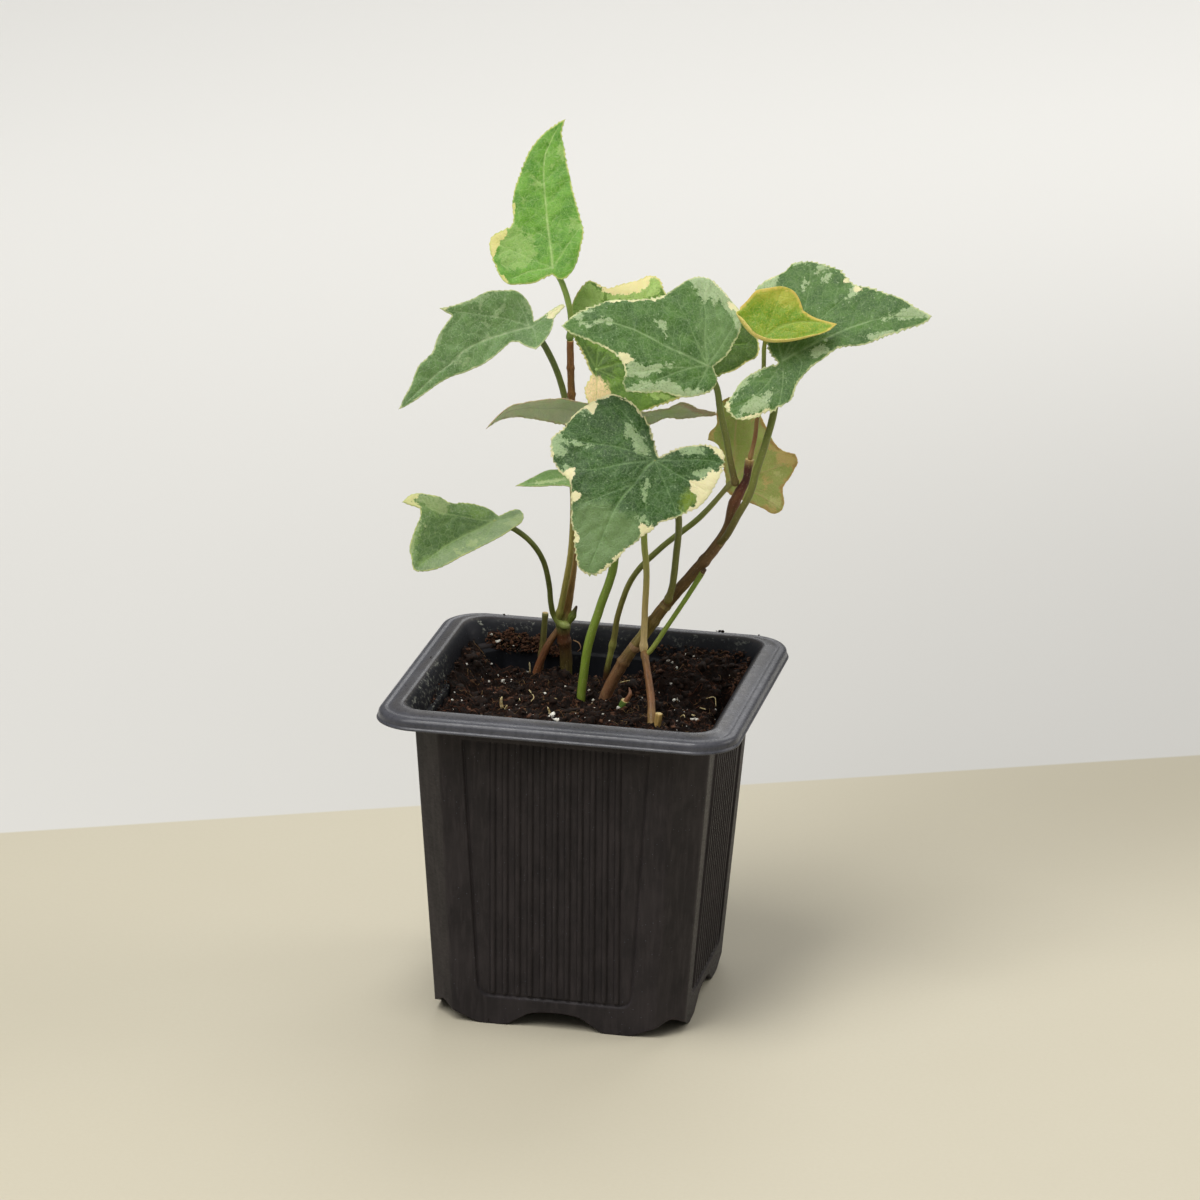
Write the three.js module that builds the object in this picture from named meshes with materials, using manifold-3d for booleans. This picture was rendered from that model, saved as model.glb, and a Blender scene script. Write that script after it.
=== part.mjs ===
// A young variegated ivy in a small square nursery pot. Millimetres, +Z up, feet of the pot on z = 0.
import * as THREE from "three";
import Module from "manifold-3d";

const wasm = await Module();
wasm.setup();

// ---- driving dimensions -------------------------------------------------------------------------
const POT_HEIGHT = 82.5;
const WALL = 1.6;
const RIM = { half: 44.8, corner: 11, drop: 3.7, plate: 2.6, skirt: 1.4 };
// How far the rim's face drops and draws in, from its lower edge to its crown.
const RIM_EDGE = [[-3.7, 0], [-2.1, 0], [-1.3, 0.8], [-0.7, 2.6], [-0.1, 5], [0, 6]];
// Each row is a height, half the width there and the corner radius: the neck outside and inside.
const NECK = [[73.4, 35.6, 8.5], [75, 36.6, 8.2], [77.5, 37.4, 8.2], [80, 38.8, 8], [81.6, 39.6, 8]];
const MOUTH = [[75.2, 35.7, 7.6], [79, 36.5, 7.4], [81.2, 37.3, 7], [82.1, 37.9, 6.6], [82.6, 38.7, 6.6]];
const BODY = { baseHalf: 31.4, baseChamfer: 6, topHalf: 36.8, topChamfer: 7.8, topZ: 76.4 };
const FLOOR = { under: 7.5, top: 8.9 };
const DRAIN = { offset: 16, radius: 3.5, sides: 10 };
const PANEL = { topHalf: 23.2, baseHalf: 19.3, baseZ: 7.4, topZ: 75, corner: 3, depth: 0.5 };
const RIBS = { count: 11, pitch: 3.1, width: 1, baseZ: 8.2, sink: 0.3 };
const FOOT_ARCH = [[12.2, 0], [9.6, 1.7], [6.3, 3.8], [3, 4.3]];
const FOOT_CORNER = [[19, 0], [22.5, 1.5], [25.5, 2.8], [28.5, 4.7], [32, 6.4], [40, 7.2]];
const SOIL_GAP = 0.3;
const SOIL_CELLS = 18;
const SOIL_HIGH = 77.2;
const STEM_GAP = 0.35;
const STEM_SIDES = 8;
const HOLE_DEPTH = 9;
const BLADE = { half: 0.4, rings: [0.38, 0.72, 1] };

// ---- helpers ------------------------------------------------------------------------------------
const vec = (p) => new THREE.Vector3(...p);

function solid(points, triangles) {
  const vertProperties = new Float32Array(points.flat());
  const triVerts = new Uint32Array(triangles.flat());
  return new wasm.Manifold(new wasm.Mesh({ numProp: 3, vertProperties, triVerts }));
}

// A closed body through rings of equal length, each counterclockwise round the way it runs.
function loft(rings) {
  const n = rings[0].length;
  const points = rings.flat();
  const triangles = [];
  for (let r = 0; r + 1 < rings.length; r++)
    for (let i = 0; i < n; i++) {
      const a = r * n + i;
      const b = r * n + ((i + 1) % n);
      triangles.push([a, b, b + n], [a, b + n, a + n]);
    }
  const cap = (ring, start, up) => {
    const middle = ring.reduce((s, p) => s.map((x, k) => x + p[k] / n), [0, 0, 0]);
    const c = points.push(middle) - 1;
    for (let i = 0; i < n; i++) {
      const a = start + i;
      const b = start + ((i + 1) % n);
      triangles.push(up ? [c, a, b] : [c, b, a]);
    }
  };
  cap(rings[0], 0, false);
  cap(rings.at(-1), (rings.length - 1) * n, true);
  return solid(points, triangles);
}

// A square outline of half size h: corners cut straight by c, or rounded by radius c in `steps`.
function squareRing(h, c, z, steps = 1) {
  const ring = [];
  for (let q = 0; q < 4; q++)
    for (let s = 0; s <= steps; s++) {
      const a = (q + s / steps) * (Math.PI / 2);
      const at = Math.floor(q);
      const corner = [[1, 1], [-1, 1], [-1, -1], [1, -1]][at];
      ring.push([corner[0] * (h - c) + c * Math.cos(a), corner[1] * (h - c) + c * Math.sin(a), z]);
    }
  return ring;
}

function prism(outline, from, to) {
  const area = outline.reduce((s, p, i) => {
    const q = outline[(i + 1) % outline.length];
    return s + p[0] * q[1] - q[0] * p[1];
  }, 0);
  const flat = (area > 0 ? outline : [...outline].reverse()).map((p) => new THREE.Vector2(...p));
  const faces = THREE.ShapeUtils.triangulateShape(flat, []);
  const n = flat.length;
  const points = [...flat.map((p) => [p.x, p.y, from]), ...flat.map((p) => [p.x, p.y, to])];
  const triangles = [];
  for (const [a, b, c] of faces) triangles.push([a, c, b], [a + n, b + n, c + n]);
  for (let i = 0; i < n; i++) {
    const j = (i + 1) % n;
    triangles.push([i, j, j + n], [i, j + n, i + n]);
  }
  return solid(points, triangles);
}

const lerp = (a, b, t) => a + (b - a) * t;
const bodyHalf = (z) => lerp(BODY.baseHalf, BODY.topHalf, z / BODY.topZ);
const bodyChamfer = (z) => lerp(BODY.baseChamfer, BODY.topChamfer, z / BODY.topZ);

// The tapering cut-cornered square, drawn in evenly by `inset`, from one height to another.
function taper(inset, low, high) {
  const cut = inset * (2 - Math.SQRT2);
  const ring = (z) => squareRing(bodyHalf(z) - inset, bodyChamfer(z) - cut, z);
  return loft([ring(low), ring(high)]);
}

const roundedLoft = (rows) => loft(rows.map(([z, half, corner]) => squareRing(half, corner, z, 5)));

// ---- pot ----------------------------------------------------------------------------------------
function rim() {
  const plate = roundedLoft(RIM_EDGE.map(([dz, d]) => [POT_HEIGHT + dz, RIM.half - d, RIM.corner - d]));
  const under = [POT_HEIGHT - RIM.drop - 1, POT_HEIGHT - RIM.plate];
  const hollow = roundedLoft(under.map((z) => [z, RIM.half - RIM.skirt, RIM.corner - RIM.skirt]));
  return plate.subtract(hollow).add(roundedLoft(NECK));
}

function cavity() {
  const well = taper(WALL, FLOOR.top, BODY.topZ);
  return well.add(roundedLoft(MOUTH)).add(taper(WALL, -1, FLOOR.under));
}

// The four faces share one flat drawing, x across and y up the face, z out of it.
function onFaces(flat) {
  const lean = (Math.atan2(BODY.topHalf - BODY.baseHalf, BODY.topZ) * 180) / Math.PI;
  const face = flat.rotate([90 + lean, 0, 0]).translate([0, -BODY.baseHalf, 0]);
  const all = [0, 90, 180, 270].map((turn) => face.rotate([0, 0, turn]));
  return all.reduce((a, b) => a.add(b));
}

function panels() {
  const { topHalf: t, baseHalf: b, baseZ, topZ, corner: c } = PANEL;
  const outline = [[-t, topZ], [-b, baseZ + c], [-b + 0.3 * c, baseZ + 0.3 * c], [-b + c, baseZ]];
  const mirrored = outline.map(([x, y]) => [-x, y]).reverse();
  return onFaces(prism([...outline, ...mirrored], -PANEL.depth, 1));
}

function ribs() {
  const bars = [];
  for (let i = 0; i < RIBS.count; i++) {
    const x = (i - (RIBS.count - 1) / 2) * RIBS.pitch;
    const [l, r, m] = [x - RIBS.width / 2, x + RIBS.width / 2, PANEL.topZ + 0.6];
    const bar = [[l, RIBS.baseZ], [r, RIBS.baseZ], [r, m], [l, m]];
    bars.push(prism(bar, -PANEL.depth - RIBS.sink, 0));
  }
  return onFaces(bars.reduce((a, b) => a.add(b)));
}

function footCuts() {
  const both = (half) => [...half.map(([x, z]) => [-x, z]), ...[...half].reverse()];
  const arch = prism([[-FOOT_ARCH[0][0], -1], ...both(FOOT_ARCH), [FOOT_ARCH[0][0], -1]], -60, 60);
  const side = [[FOOT_CORNER[0][0], -1], ...FOOT_CORNER, [FOOT_CORNER.at(-1)[0], -1]];
  const corner = prism(side, -60, 60).add(prism(side.map(([x, z]) => [-x, z]), -60, 60));
  const across = (s) => s.rotate([90, 0, 0]);
  const along = (s) => s.rotate([90, 0, 90]);
  return across(arch).add(along(arch)).add(across(corner).intersect(along(corner)));
}

function drains() {
  const turn = (i) => (i / DRAIN.sides) * 2 * Math.PI;
  const hole = (x, y) => loft([FLOOR.under - 1, FLOOR.top + 1].map((z) =>
    Array.from({ length: DRAIN.sides }, (_, i) =>
      [x + DRAIN.radius * Math.cos(turn(i)), y + DRAIN.radius * Math.sin(turn(i)), z])));
  const d = DRAIN.offset;
  return hole(d, d).add(hole(-d, d)).add(hole(-d, -d)).add(hole(d, -d));
}

function pot() {
  const shell = taper(0, 0, BODY.topZ).subtract(panels()).add(ribs());
  return shell.add(rim()).subtract(cavity()).subtract(footCuts()).subtract(drains());
}

// ---- soil ---------------------------------------------------------------------------------------
const smooth = (a, b, x) => {
  const t = Math.min(1, Math.max(0, (x - a) / (b - a)));
  return t * t * (3 - 2 * t);
};

// The crumbly top: a heap at the back right and in the back left corner, a dip along the back wall.
function soilTop(x, y) {
  const heap = 4.4 * smooth(4, 18, x) * smooth(8, 26, y);
  const corner = 4.5 * smooth(-27, -33, x) * smooth(12, 26, y);
  const dip = -3.4 * smooth(28, 34, y) * smooth(-31, -27, x) * smooth(8, 2, x);
  const lumps = 0.5 * Math.sin(0.62 * x + 0.9) * Math.cos(0.55 * y) + 0.45 * Math.sin(1.1 * x - 0.8 * y);
  return 72 + heap + corner + dip + lumps;
}

function soilBlock() {
  const n = SOIL_CELLS;
  const low = FLOOR.top + SOIL_GAP;
  const half = (z) => bodyHalf(z) - WALL - SOIL_GAP;
  const at = (i, z) => lerp(-1, 1, i / n) * half(z);
  const cut = (x, y, z) => {
    const over = Math.abs(x) + Math.abs(y) - (2 * half(z) - bodyChamfer(z) * 0.98);
    return over > 0 ? [x - (Math.sign(x) * over) / 2, y - (Math.sign(y) * over) / 2] : [x, y];
  };
  const points = [];
  for (const top of [false, true])
    for (let j = 0; j <= n; j++)
      for (let i = 0; i <= n; i++) {
        const z = top ? Math.min(SOIL_HIGH, soilTop(at(i, 72), at(j, 72))) : low;
        const [x, y] = cut(at(i, z), at(j, z), z);
        points.push([x, y, z]);
      }
  const row = n + 1;
  const lift = row * row;
  const triangles = [];
  for (let j = 0; j < n; j++)
    for (let i = 0; i < n; i++) {
      const a = j * row + i;
      triangles.push([a, a + row, a + 1], [a + 1, a + row, a + row + 1]);
      triangles.push([a + lift, a + 1 + lift, a + row + lift]);
      triangles.push([a + 1 + lift, a + row + 1 + lift, a + row + lift]);
    }
  const edge = [];
  for (let i = 0; i < n; i++) edge.push(i);
  for (let j = 0; j < n; j++) edge.push(j * row + n);
  for (let i = n; i > 0; i--) edge.push(n * row + i);
  for (let j = n; j > 0; j--) edge.push(j * row);
  edge.forEach((a, k) => {
    const b = edge[(k + 1) % edge.length];
    triangles.push([a, b, b + lift], [a, b + lift, a + lift]);
  });
  return solid(points, triangles);
}

// ---- stems --------------------------------------------------------------------------------------
// A tapering round stem through points [x, y, z, radius].
function stem(points, extra = 0, sides = STEM_SIDES) {
  const curve = new THREE.CatmullRomCurve3(points.map((p) => vec(p.slice(0, 3))), false, "centripetal");
  const steps = Math.max(2, Math.round((points.length - 1) * 2));
  const { normals, binormals } = curve.computeFrenetFrames(steps, false);
  const rings = [];
  for (let s = 0; s <= steps; s++) {
    const at = (s / steps) * (points.length - 1);
    const i = Math.min(points.length - 2, Math.floor(at));
    const radius = lerp(points[i][3], points[i + 1][3], at - i) + extra;
    const centre = curve.getPoint(s / steps);
    rings.push(Array.from({ length: sides }, (_, k) => {
      const a = (k / sides) * 2 * Math.PI;
      const arm = normals[s].clone().multiplyScalar(Math.cos(a) * radius);
      return arm.addScaledVector(binormals[s], Math.sin(a) * radius).add(centre).toArray();
    }));
  }
  return loft(rings);
}

// The same stem carried down into the soil, and the plain hole that it stands in.
function rooted(points) {
  const [a, b] = points;
  const down = (depth) => {
    const t = depth / (b[2] - a[2]);
    return [lerp(a[0], b[0], -t * 0.5), lerp(a[1], b[1], -t * 0.5), a[2] - depth, a[3]];
  };
  return {
    body: stem([down(HOLE_DEPTH), ...points]),
    hole: stem([down(HOLE_DEPTH + 0.6), a, b], STEM_GAP, STEM_SIDES),
  };
}

const LEFT_STEM = [[-11, 29, 71.5, 1.6], [-11, 28, 78.5, 1.5], [-11.5, 27, 83, 1.6], [-11.5, 27, 86, 2],
  [-10.5, 26.5, 90, 1.1], [-8.5, 25, 106.5, 0.9], [-8, 24, 119.5, 0.9], [-8.5, 23, 132.5, 0.9],
  [-9.5, 22, 145.5, 0.9], [-10, 21, 161, 0.9]];
const LEFT_STRAND = [[-18, 26, 72.5, 1], [-15.5, 26, 79.5, 0.9], [-12, 26.8, 85.5, 0.8]];
const LEFT_STUB = [[-18, 30.5, 72, 0.9], [-17.4, 31, 80.5, 0.8], [-17, 31, 87, 0.7]];
const BUD = [[-10.5, 26.7, 85.5, 0.5], [-9, 26, 88.5, 0.9], [-8, 25.8, 91, 0.3]];
const RIGHT_STEM = [[2.5, 11, 72, 1.5], [7, 10, 82, 1.5], [12.5, 9.5, 90.5, 1.5], [16.9, 9, 97.3, 1.45],
  [23.3, 8, 105.9, 1.4], [29.8, 7, 114.5, 1.4], [33.3, 6.5, 120.5, 1.3], [34.5, 6, 126, 1.3],
  [36, 6, 130, 1.3], [37.5, 6, 133, 0.95], [38, 6, 136.5, 1], [38.3, 6, 138.5, 1.15]];
const FRONT_STEM = [[18, -7, 73, 1], [17, -3, 77.5, 0.95], [15, 2, 83, 0.9], [13.4, 5.4, 87, 1.25]];
const FRONT_CHIP = [[19.2, -7.6, 70, 0.9], [19.9, -7.6, 76, 0.9]];
const CUT_PETIOLE = [[15.1, 5.1, 87.9, 0.6], [18.5, 5.6, 93.5, 0.6], [23, 5.6, 101, 0.6],
  [27.5, 5, 109, 0.7]];
const STUMP = [[8, 5, 71.5, 1.3], [9, 4.5, 74.5, 1]];

// ---- leaves -------------------------------------------------------------------------------------
// base: where the veins meet. along: base to tip. face: out of the upper face. outline: [across,
// along] round the base. The blade leaves its plane by droop at the tip, cup and fold to the sides
// and a ripple towards the margin. petiole: from its foot to the base; a rooted one stands in soil.
const LEAVES = {
  leaf_top: {
    base: [-14.5, 20, 179.5], along: [-0.07, 0.53, 0.84], face: [0.05, -0.84, 0.54],
    droop: -3, cup: 2, fold: 0, ripple: 0.3, color: 0x6aa63a,
    outline: [[0, -2], [-4, -4], [-7.5, -4.5], [-11, -4.5], [-13, -2.5], [-15, 1.5], [-16, 5.5],
      [-15.5, 7.5], [-13, 9.5], [-11, 10.5], [-10.5, 12.5], [-11, 15.5], [-10.5, 19.5], [-9, 25.5],
      [-6.5, 31], [-4, 34], [-1.5, 36.5], [0.5, 37.7], [1.5, 36.5], [1.7, 34], [2, 31.5], [3, 24],
      [5, 17.5], [6.5, 12.5], [7.5, 9.5], [7, 6], [6, 1.5], [4.5, -1.5], [3, -3], [1.5, -3]],
    petiole: [[-10.1, 21.2, 161.5], [-10.2, 22, 167.5], [-12.4, 21.4, 175.5]], width: 0.75,
  },
  leaf_left: {
    base: [-18, 13, 166], along: [-0.66, -0.64, -0.4], face: [0.22, -0.67, 0.71],
    droop: 3, cup: 0, fold: 0.45, ripple: 0.3, color: 0x5f8a55,
    outline: [[1, -1.5], [3.5, -3], [6.5, -3], [9, -2], [11, 1.5], [12.5, 4.5], [13.5, 10], [14.5, 14],
      [15.3, 17.5], [12.5, 15.5], [11.5, 18.5], [10, 22], [8, 25], [7, 30], [4.5, 34], [3, 37.5],
      [1.5, 40], [0.7, 37.5], [0, 31], [-0.5, 25.5], [-1, 20], [-1.5, 14], [-1.4, 9.5], [-1, 6],
      [-3, 5], [-5, 3.5], [-6, 1.5], [-4.5, -1.5], [-3, -4.5], [-1.5, -8], [-0.5, -11], [0.8, -10],
      [1.2, -7], [1, -4.5]],
    petiole: [[-12.6, 25, 87.9], [-10.9, 22.7, 97.5], [-9.5, 21, 107], [-9, 20, 120.5], [-9.5, 19.6, 136],
      [-10.5, 18.7, 146.5], [-12.5, 17, 154.5], [-15.5, 15, 161.5]], width: 0.8,
  },
  leaf_centre: {
    base: [28, 2, 162.5], along: [-0.9, -0.34, 0.29], face: [0.44, -0.65, 0.62],
    droop: 3, cup: -1.5, fold: 0, ripple: 0.35, color: 0x4f7a52,
    outline: [[0, -1.5], [4, -4.5], [9, -6.5], [14, -7.5], [17, -7], [20, -4], [23, -1], [25, 1], [25, 4],
      [23.5, 6.5], [20.5, 9.5], [17.5, 12], [15, 16], [13, 21], [11.5, 26], [8, 32], [4.5, 35],
      [1.5, 37], [-0.5, 34], [-1.5, 29], [-2, 26.5], [-3, 23.5], [-6, 20.5], [-8, 20], [-9.5, 20.5],
      [-12, 19], [-11.5, 13.5], [-10, 10.5], [-10, 5.5], [-8.5, 1], [-7, -1.5], [-3.5, -3], [-2, -3]],
    petiole: [[35, 5.5, 132.2], [33.5, 5, 139], [32.5, 5, 144], [31, 4.5, 150.5], [30, 4, 156.5]],
    width: 0.8,
  },
  leaf_right: {
    base: [46, 4, 164.5], along: [0.94, 0.15, 0.31], face: [-0.07, -0.8, 0.6],
    droop: 4, cup: -1.5, fold: 0, ripple: 0.35, color: 0x5c8650,
    outline: [[0, -1.5], [-3, -3], [-5, -3], [-8.5, -4], [-13.5, -4], [-18.5, -3.5], [-21.5, -2.5],
      [-23, 0.5], [-24, 5.5], [-25.5, 7.5], [-25, 12], [-23, 16], [-20.5, 19], [-18, 20], [-15.5, 21.5],
      [-13.5, 25.5], [-10, 30], [-5.5, 34.5], [-2.5, 37.5], [-1, 36.5], [0, 31.5], [1, 24.5],
      [1.4, 18.5], [1.8, 14.5], [3, 8], [5, 4.5], [7, 2], [10, 0.5], [11.5, -2.5], [12.5, -5],
      [12, -7], [12.5, -9], [11.5, -14], [10, -15.5], [7, -16.5], [4.5, -13.5], [1.5, -10], [0.3, -5]],
    petiole: [[33, 4.5, 117], [36, 3.4, 124.5], [39, 2.9, 130.5], [40.5, 3.4, 136.5], [42.5, 4.3, 144],
      [43.8, 5.4, 150], [44.8, 6, 158]], width: 0.9,
  },
  leaf_lower_left: {
    base: [-26.5, 12, 116], along: [-0.6, -0.75, -0.28], face: [0.22, -0.49, 0.84],
    droop: 2, cup: 0, fold: 0.35, ripple: 0.25, color: 0x5f7f55,
    outline: [[0.5, -2], [2.5, -1.5], [5, 0], [8, 3.5], [9.5, 6.5], [12, 8], [14, 10], [15.5, 12.5],
      [16, 15.5], [15.5, 17.5], [12, 14.5], [10.5, 15.5], [8.5, 19], [5.5, 23], [3.5, 24], [0.5, 25.5],
      [-1, 24], [-2, 21], [-3, 17], [-4.5, 12], [-5.5, 6], [-5.5, 1], [-5, -3], [-4.5, -5.5],
      [-2.5, -7.5], [-0.5, -7.5], [0.5, -4.5]],
    petiole: [[-14.1, 24.8, 86.4], [-14, 23.2, 92], [-14.3, 21.8, 97.5], [-15.5, 20, 104],
      [-18, 17, 109.5], [-22, 14.5, 113.5]], width: 0.7,
  },
  leaf_front: {
    base: [17, -6, 140], along: [-0.36, -0.49, -0.8], face: [0.12, -0.87, 0.48],
    droop: 4, cup: -1.5, fold: 0, ripple: 0.35, color: 0x47744f,
    outline: [[-0.5, -1.5], [0.5, -2.5], [3, -5.5], [6, -8], [10, -10], [13.5, -11], [17, -10.5],
      [19.5, -8], [21, -5.5], [23.5, -0.5], [24.5, 3], [25.5, 6], [25, 8], [23, 11], [18, 13],
      [16.5, 14], [14, 17.5], [12, 22], [9, 26], [8, 27.5], [5, 30.5], [2, 32], [0.5, 32],
      [-1, 30.5], [-3, 26], [-4, 22.5], [-5.5, 19.5], [-6, 18], [-7.5, 15.5], [-8, 13.5],
      [-11, 10.5], [-12.5, 8.5], [-15, 5], [-16, 0], [-16, -4.5], [-15.5, -7.5], [-14, -9.5],
      [-12, -10], [-9, -9.5], [-6, -7.5], [-3, -5], [-1.5, -3]],
    petiole: [[18.8, 6, 100.6], [20, 5.2, 104.5], [21, 4, 112.5], [22, 1, 123.5], [20.5, -2, 133]],
    width: 0.85,
  },
  leaf_back: {
    base: [-3.5, 22, 154], along: [0.92, 0.36, 0.12], face: [0.23, -0.77, 0.59],
    droop: 3, cup: -1, fold: 0, ripple: 0.3, color: 0x5d8a3c,
    outline: [[1, -1.5], [-4.5, -3], [-9, -4], [-15, -4], [-18.5, -2.5], [-22, 0], [-24, 2.5], [-23, 4.5],
      [-21.5, 7], [-22, 10.5], [-22.5, 14.5], [-23.5, 18], [-22, 20.5], [-18.5, 21], [-15, 22],
      [-12, 26], [-10.5, 32], [-8, 38.5], [-4, 41.5], [-1, 42], [2, 40.5], [3, 38], [5, 34],
      [6, 30.5], [8.5, 24.5], [10.5, 19], [11.5, 15.5], [12.5, 11.5], [12.5, 6], [11.5, 0],
      [9.5, -3], [7, -4], [4.5, -4], [2.5, -2.5]],
    rooted: true, petiole: [[-3, 8.5, 71], [-2.5, 9, 78.5], [-1.5, 10, 87], [1, 12, 96.5], [3.5, 14, 106],
      [2.5, 19.5, 122], [-0.5, 23.5, 138.5], [-2.5, 24, 148]], width: 1.1,
  },
  leaf_young: {
    base: [42, 2, 171], along: [0.96, 0.21, 0.19], face: [0.09, -0.87, 0.49],
    droop: 0, cup: 4, fold: 0, ripple: 0, color: 0x9aa528,
    outline: [[1, -1], [-1, -2.5], [-2.5, -4], [-5, -5], [-6.5, -4], [-9, -2.5], [-11, -0.5], [-11, 2.5],
      [-11, 6], [-9.5, 8.5], [-7.5, 9.5], [-4.5, 10], [-2.5, 12.5], [0, 17.5], [1.5, 14.5], [2, 11],
      [2.4, 6.5], [2.2, 3]],
    petiole: [[38.4, 6, 138.9], [39.3, 7, 144], [39.5, 8, 148.5], [40.5, 7.8, 155], [41, 6.5, 162],
      [41.3, 4.5, 167]], width: 0.55,
  },
  leaf_edge_on: {
    base: [12.8, 12.5, 147.6], along: [-0.96, -0.27, 0.06], face: [0.1, 0.6, 0.76],
    droop: 8, cup: 0, fold: 0, ripple: 0.25, color: 0x77806a,
    outline: [[0, -1.5], [2, -5], [3.5, -10], [5, -15.5], [7.5, -13], [9, -8], [9.5, -3], [9, 3],
      [8.5, 8], [7.5, 13], [7, 18], [6, 24], [4, 31], [1.5, 37], [0, 41], [-2, 36], [-4.5, 29],
      [-6.5, 22], [-8, 16], [-8.5, 9], [-9, 3], [-9, -3], [-8.5, -9], [-6.5, -13.5], [-4, -12],
      [-2.5, -8], [-1.2, -4]],
    petiole: [[13.1, 5.9, 87.9], [13, 7, 97.5], [13, 8, 107], [12, 9, 115.5], [12, 10.5, 130]], width: 0.8,
  },
  leaf_back_right: {
    base: [31.5, 20, 128], along: [0.37, 0.15, 0.92], face: [0.14, 0.97, -0.22],
    droop: 3, cup: 0, fold: 0, ripple: 0.25, color: 0x8a9a55,
    outline: [[0, -2.5], [2, 0.5], [4, 3], [5.5, 5.5], [7.5, 7], [10, 7], [10.3, 9], [9.5, 11.5],
      [11, 14.5], [10.5, 17.5], [8, 20], [3.5, 20.5], [0, 19], [-3, 16.5], [-6.5, 14], [-9, 13.5],
      [-12, 14], [-13.5, 12.5], [-13, 8], [-12.5, 5], [-14.5, 1.5], [-14.5, -0.5], [-13, -2],
      [-10, -2], [-7, -2.2], [-4, -2.6], [-1.5, -2.8]],
    rooted: true, petiole: [[-1, 31, 72.5], [0, 30.5, 77.5], [1, 30, 82.5], [2, 29, 88.5], [6, 27, 99.5],
      [13.5, 25, 108.5], [23.5, 22, 118]], width: 0.75,
  },
  leaf_small: {
    base: [0.5, 10, 129], along: [-0.93, -0.37, -0.03], face: [0.15, -0.45, 0.88],
    droop: 1, cup: 0, fold: 0, ripple: 0.15, color: 0x7c9a55,
    outline: [[0, -1.5], [3.5, -1.5], [7, 1], [6.5, 5], [5, 9.5], [5, 12], [4, 15], [2.5, 18], [1, 21],
      [0, 16], [-0.6, 12], [-1.2, 8.5], [-2.5, 5.5], [-5, 2], [-3.5, -0.5]],
    petiole: [[-7.2, 22.8, 113], [-4, 18, 119.5], [-1.2, 13.5, 126]], width: 0.55,
  },
};

function bladePoint(leaf, u, v, side) {
  const along = vec(leaf.along).normalize();
  const face = vec(leaf.face);
  face.addScaledVector(along, -face.dot(along)).normalize();
  const across = along.clone().cross(face);
  const length = Math.max(...leaf.outline.map((p) => p[1]));
  const t = v / length;
  const reach = Math.hypot(u, v) / length;
  const lift = -leaf.droop * t * t + leaf.cup * (u / 20) ** 2 + leaf.fold * (Math.hypot(u, 3) - 3) +
    leaf.ripple * reach * Math.sin(5 * Math.atan2(u, v) + leaf.base[0]);
  const p = vec(leaf.base).addScaledVector(across, u).addScaledVector(along, v);
  return p.addScaledVector(face, lift + side * BLADE.half).toArray();
}

// One thin closed blade: the same fan of triangles on both faces, and a strip round the margin.
function blade(leaf) {
  const n = leaf.outline.length;
  const clockwise = leaf.outline.reduce((s, [u, v], i) => {
    const [p, q] = leaf.outline[(i + 1) % n];
    return s + u * q - p * v;
  }, 0) < 0;
  const outline = clockwise ? [...leaf.outline].reverse() : leaf.outline;
  const points = [];
  for (const side of [1, -1]) {
    points.push(bladePoint(leaf, 0, 0, side));
    for (const r of BLADE.rings)
      for (const [u, v] of outline) points.push(bladePoint(leaf, u * r, v * r, side));
  }
  const under = points.length / 2;
  const at = (ring, i) => 1 + ring * n + (i % n);
  const triangles = [];
  const both = (a, b, c) => triangles.push([a, b, c], [a + under, c + under, b + under]);
  for (let i = 0; i < n; i++) {
    both(0, at(0, i), at(0, i + 1));
    for (let r = 0; r + 1 < BLADE.rings.length; r++) {
      both(at(r, i), at(r + 1, i), at(r + 1, i + 1));
      both(at(r, i), at(r + 1, i + 1), at(r, i + 1));
    }
    const [a, b] = [at(BLADE.rings.length - 1, i), at(BLADE.rings.length - 1, i + 1)];
    triangles.push([a, a + under, b + under], [a, b + under, b]);
  }
  return solid(points, triangles);
}

function leafBodies(leaf) {
  const path = leaf.petiole.map((p) => [p[0], p[1], p[2], leaf.width]);
  path.push([...bladePoint(leaf, 0, 0, -0.5), leaf.width * 0.8]);
  if (!leaf.rooted) return { body: blade(leaf).add(stem(path)) };
  const { body, hole } = rooted(path);
  return { body: blade(leaf).add(body), hole };
}

// ---- assembly -----------------------------------------------------------------------------------
const materials = {
  plastic: new THREE.MeshStandardMaterial({ color: 0x2b2b2e, roughness: 0.55 }),
  peat: new THREE.MeshStandardMaterial({ color: 0x3d2618, roughness: 0.95 }),
  bark: new THREE.MeshStandardMaterial({ color: 0x6b5136, roughness: 0.7 }),
  green: new THREE.MeshStandardMaterial({ color: 0x6a9a35, roughness: 0.6 }),
};
const group = new THREE.Group();

function place(name, body, material) {
  const { numProp, vertProperties, triVerts } = body.getMesh();
  const geometry = new THREE.BufferGeometry();
  const count = vertProperties.length / numProp;
  const xyz = new Float32Array(count * 3);
  for (let i = 0; i < count; i++) xyz.set(vertProperties.subarray(i * numProp, i * numProp + 3), i * 3);
  geometry.setAttribute("position", new THREE.BufferAttribute(xyz, 3));
  geometry.setIndex(new THREE.BufferAttribute(triVerts, 1));
  geometry.computeVertexNormals();
  const mesh = new THREE.Mesh(geometry, material.clone());
  mesh.name = name;
  group.add(mesh);
}

const holes = [];
function plant(points) {
  const { body, hole } = rooted(points);
  holes.push(hole);
  return body;
}

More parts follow.
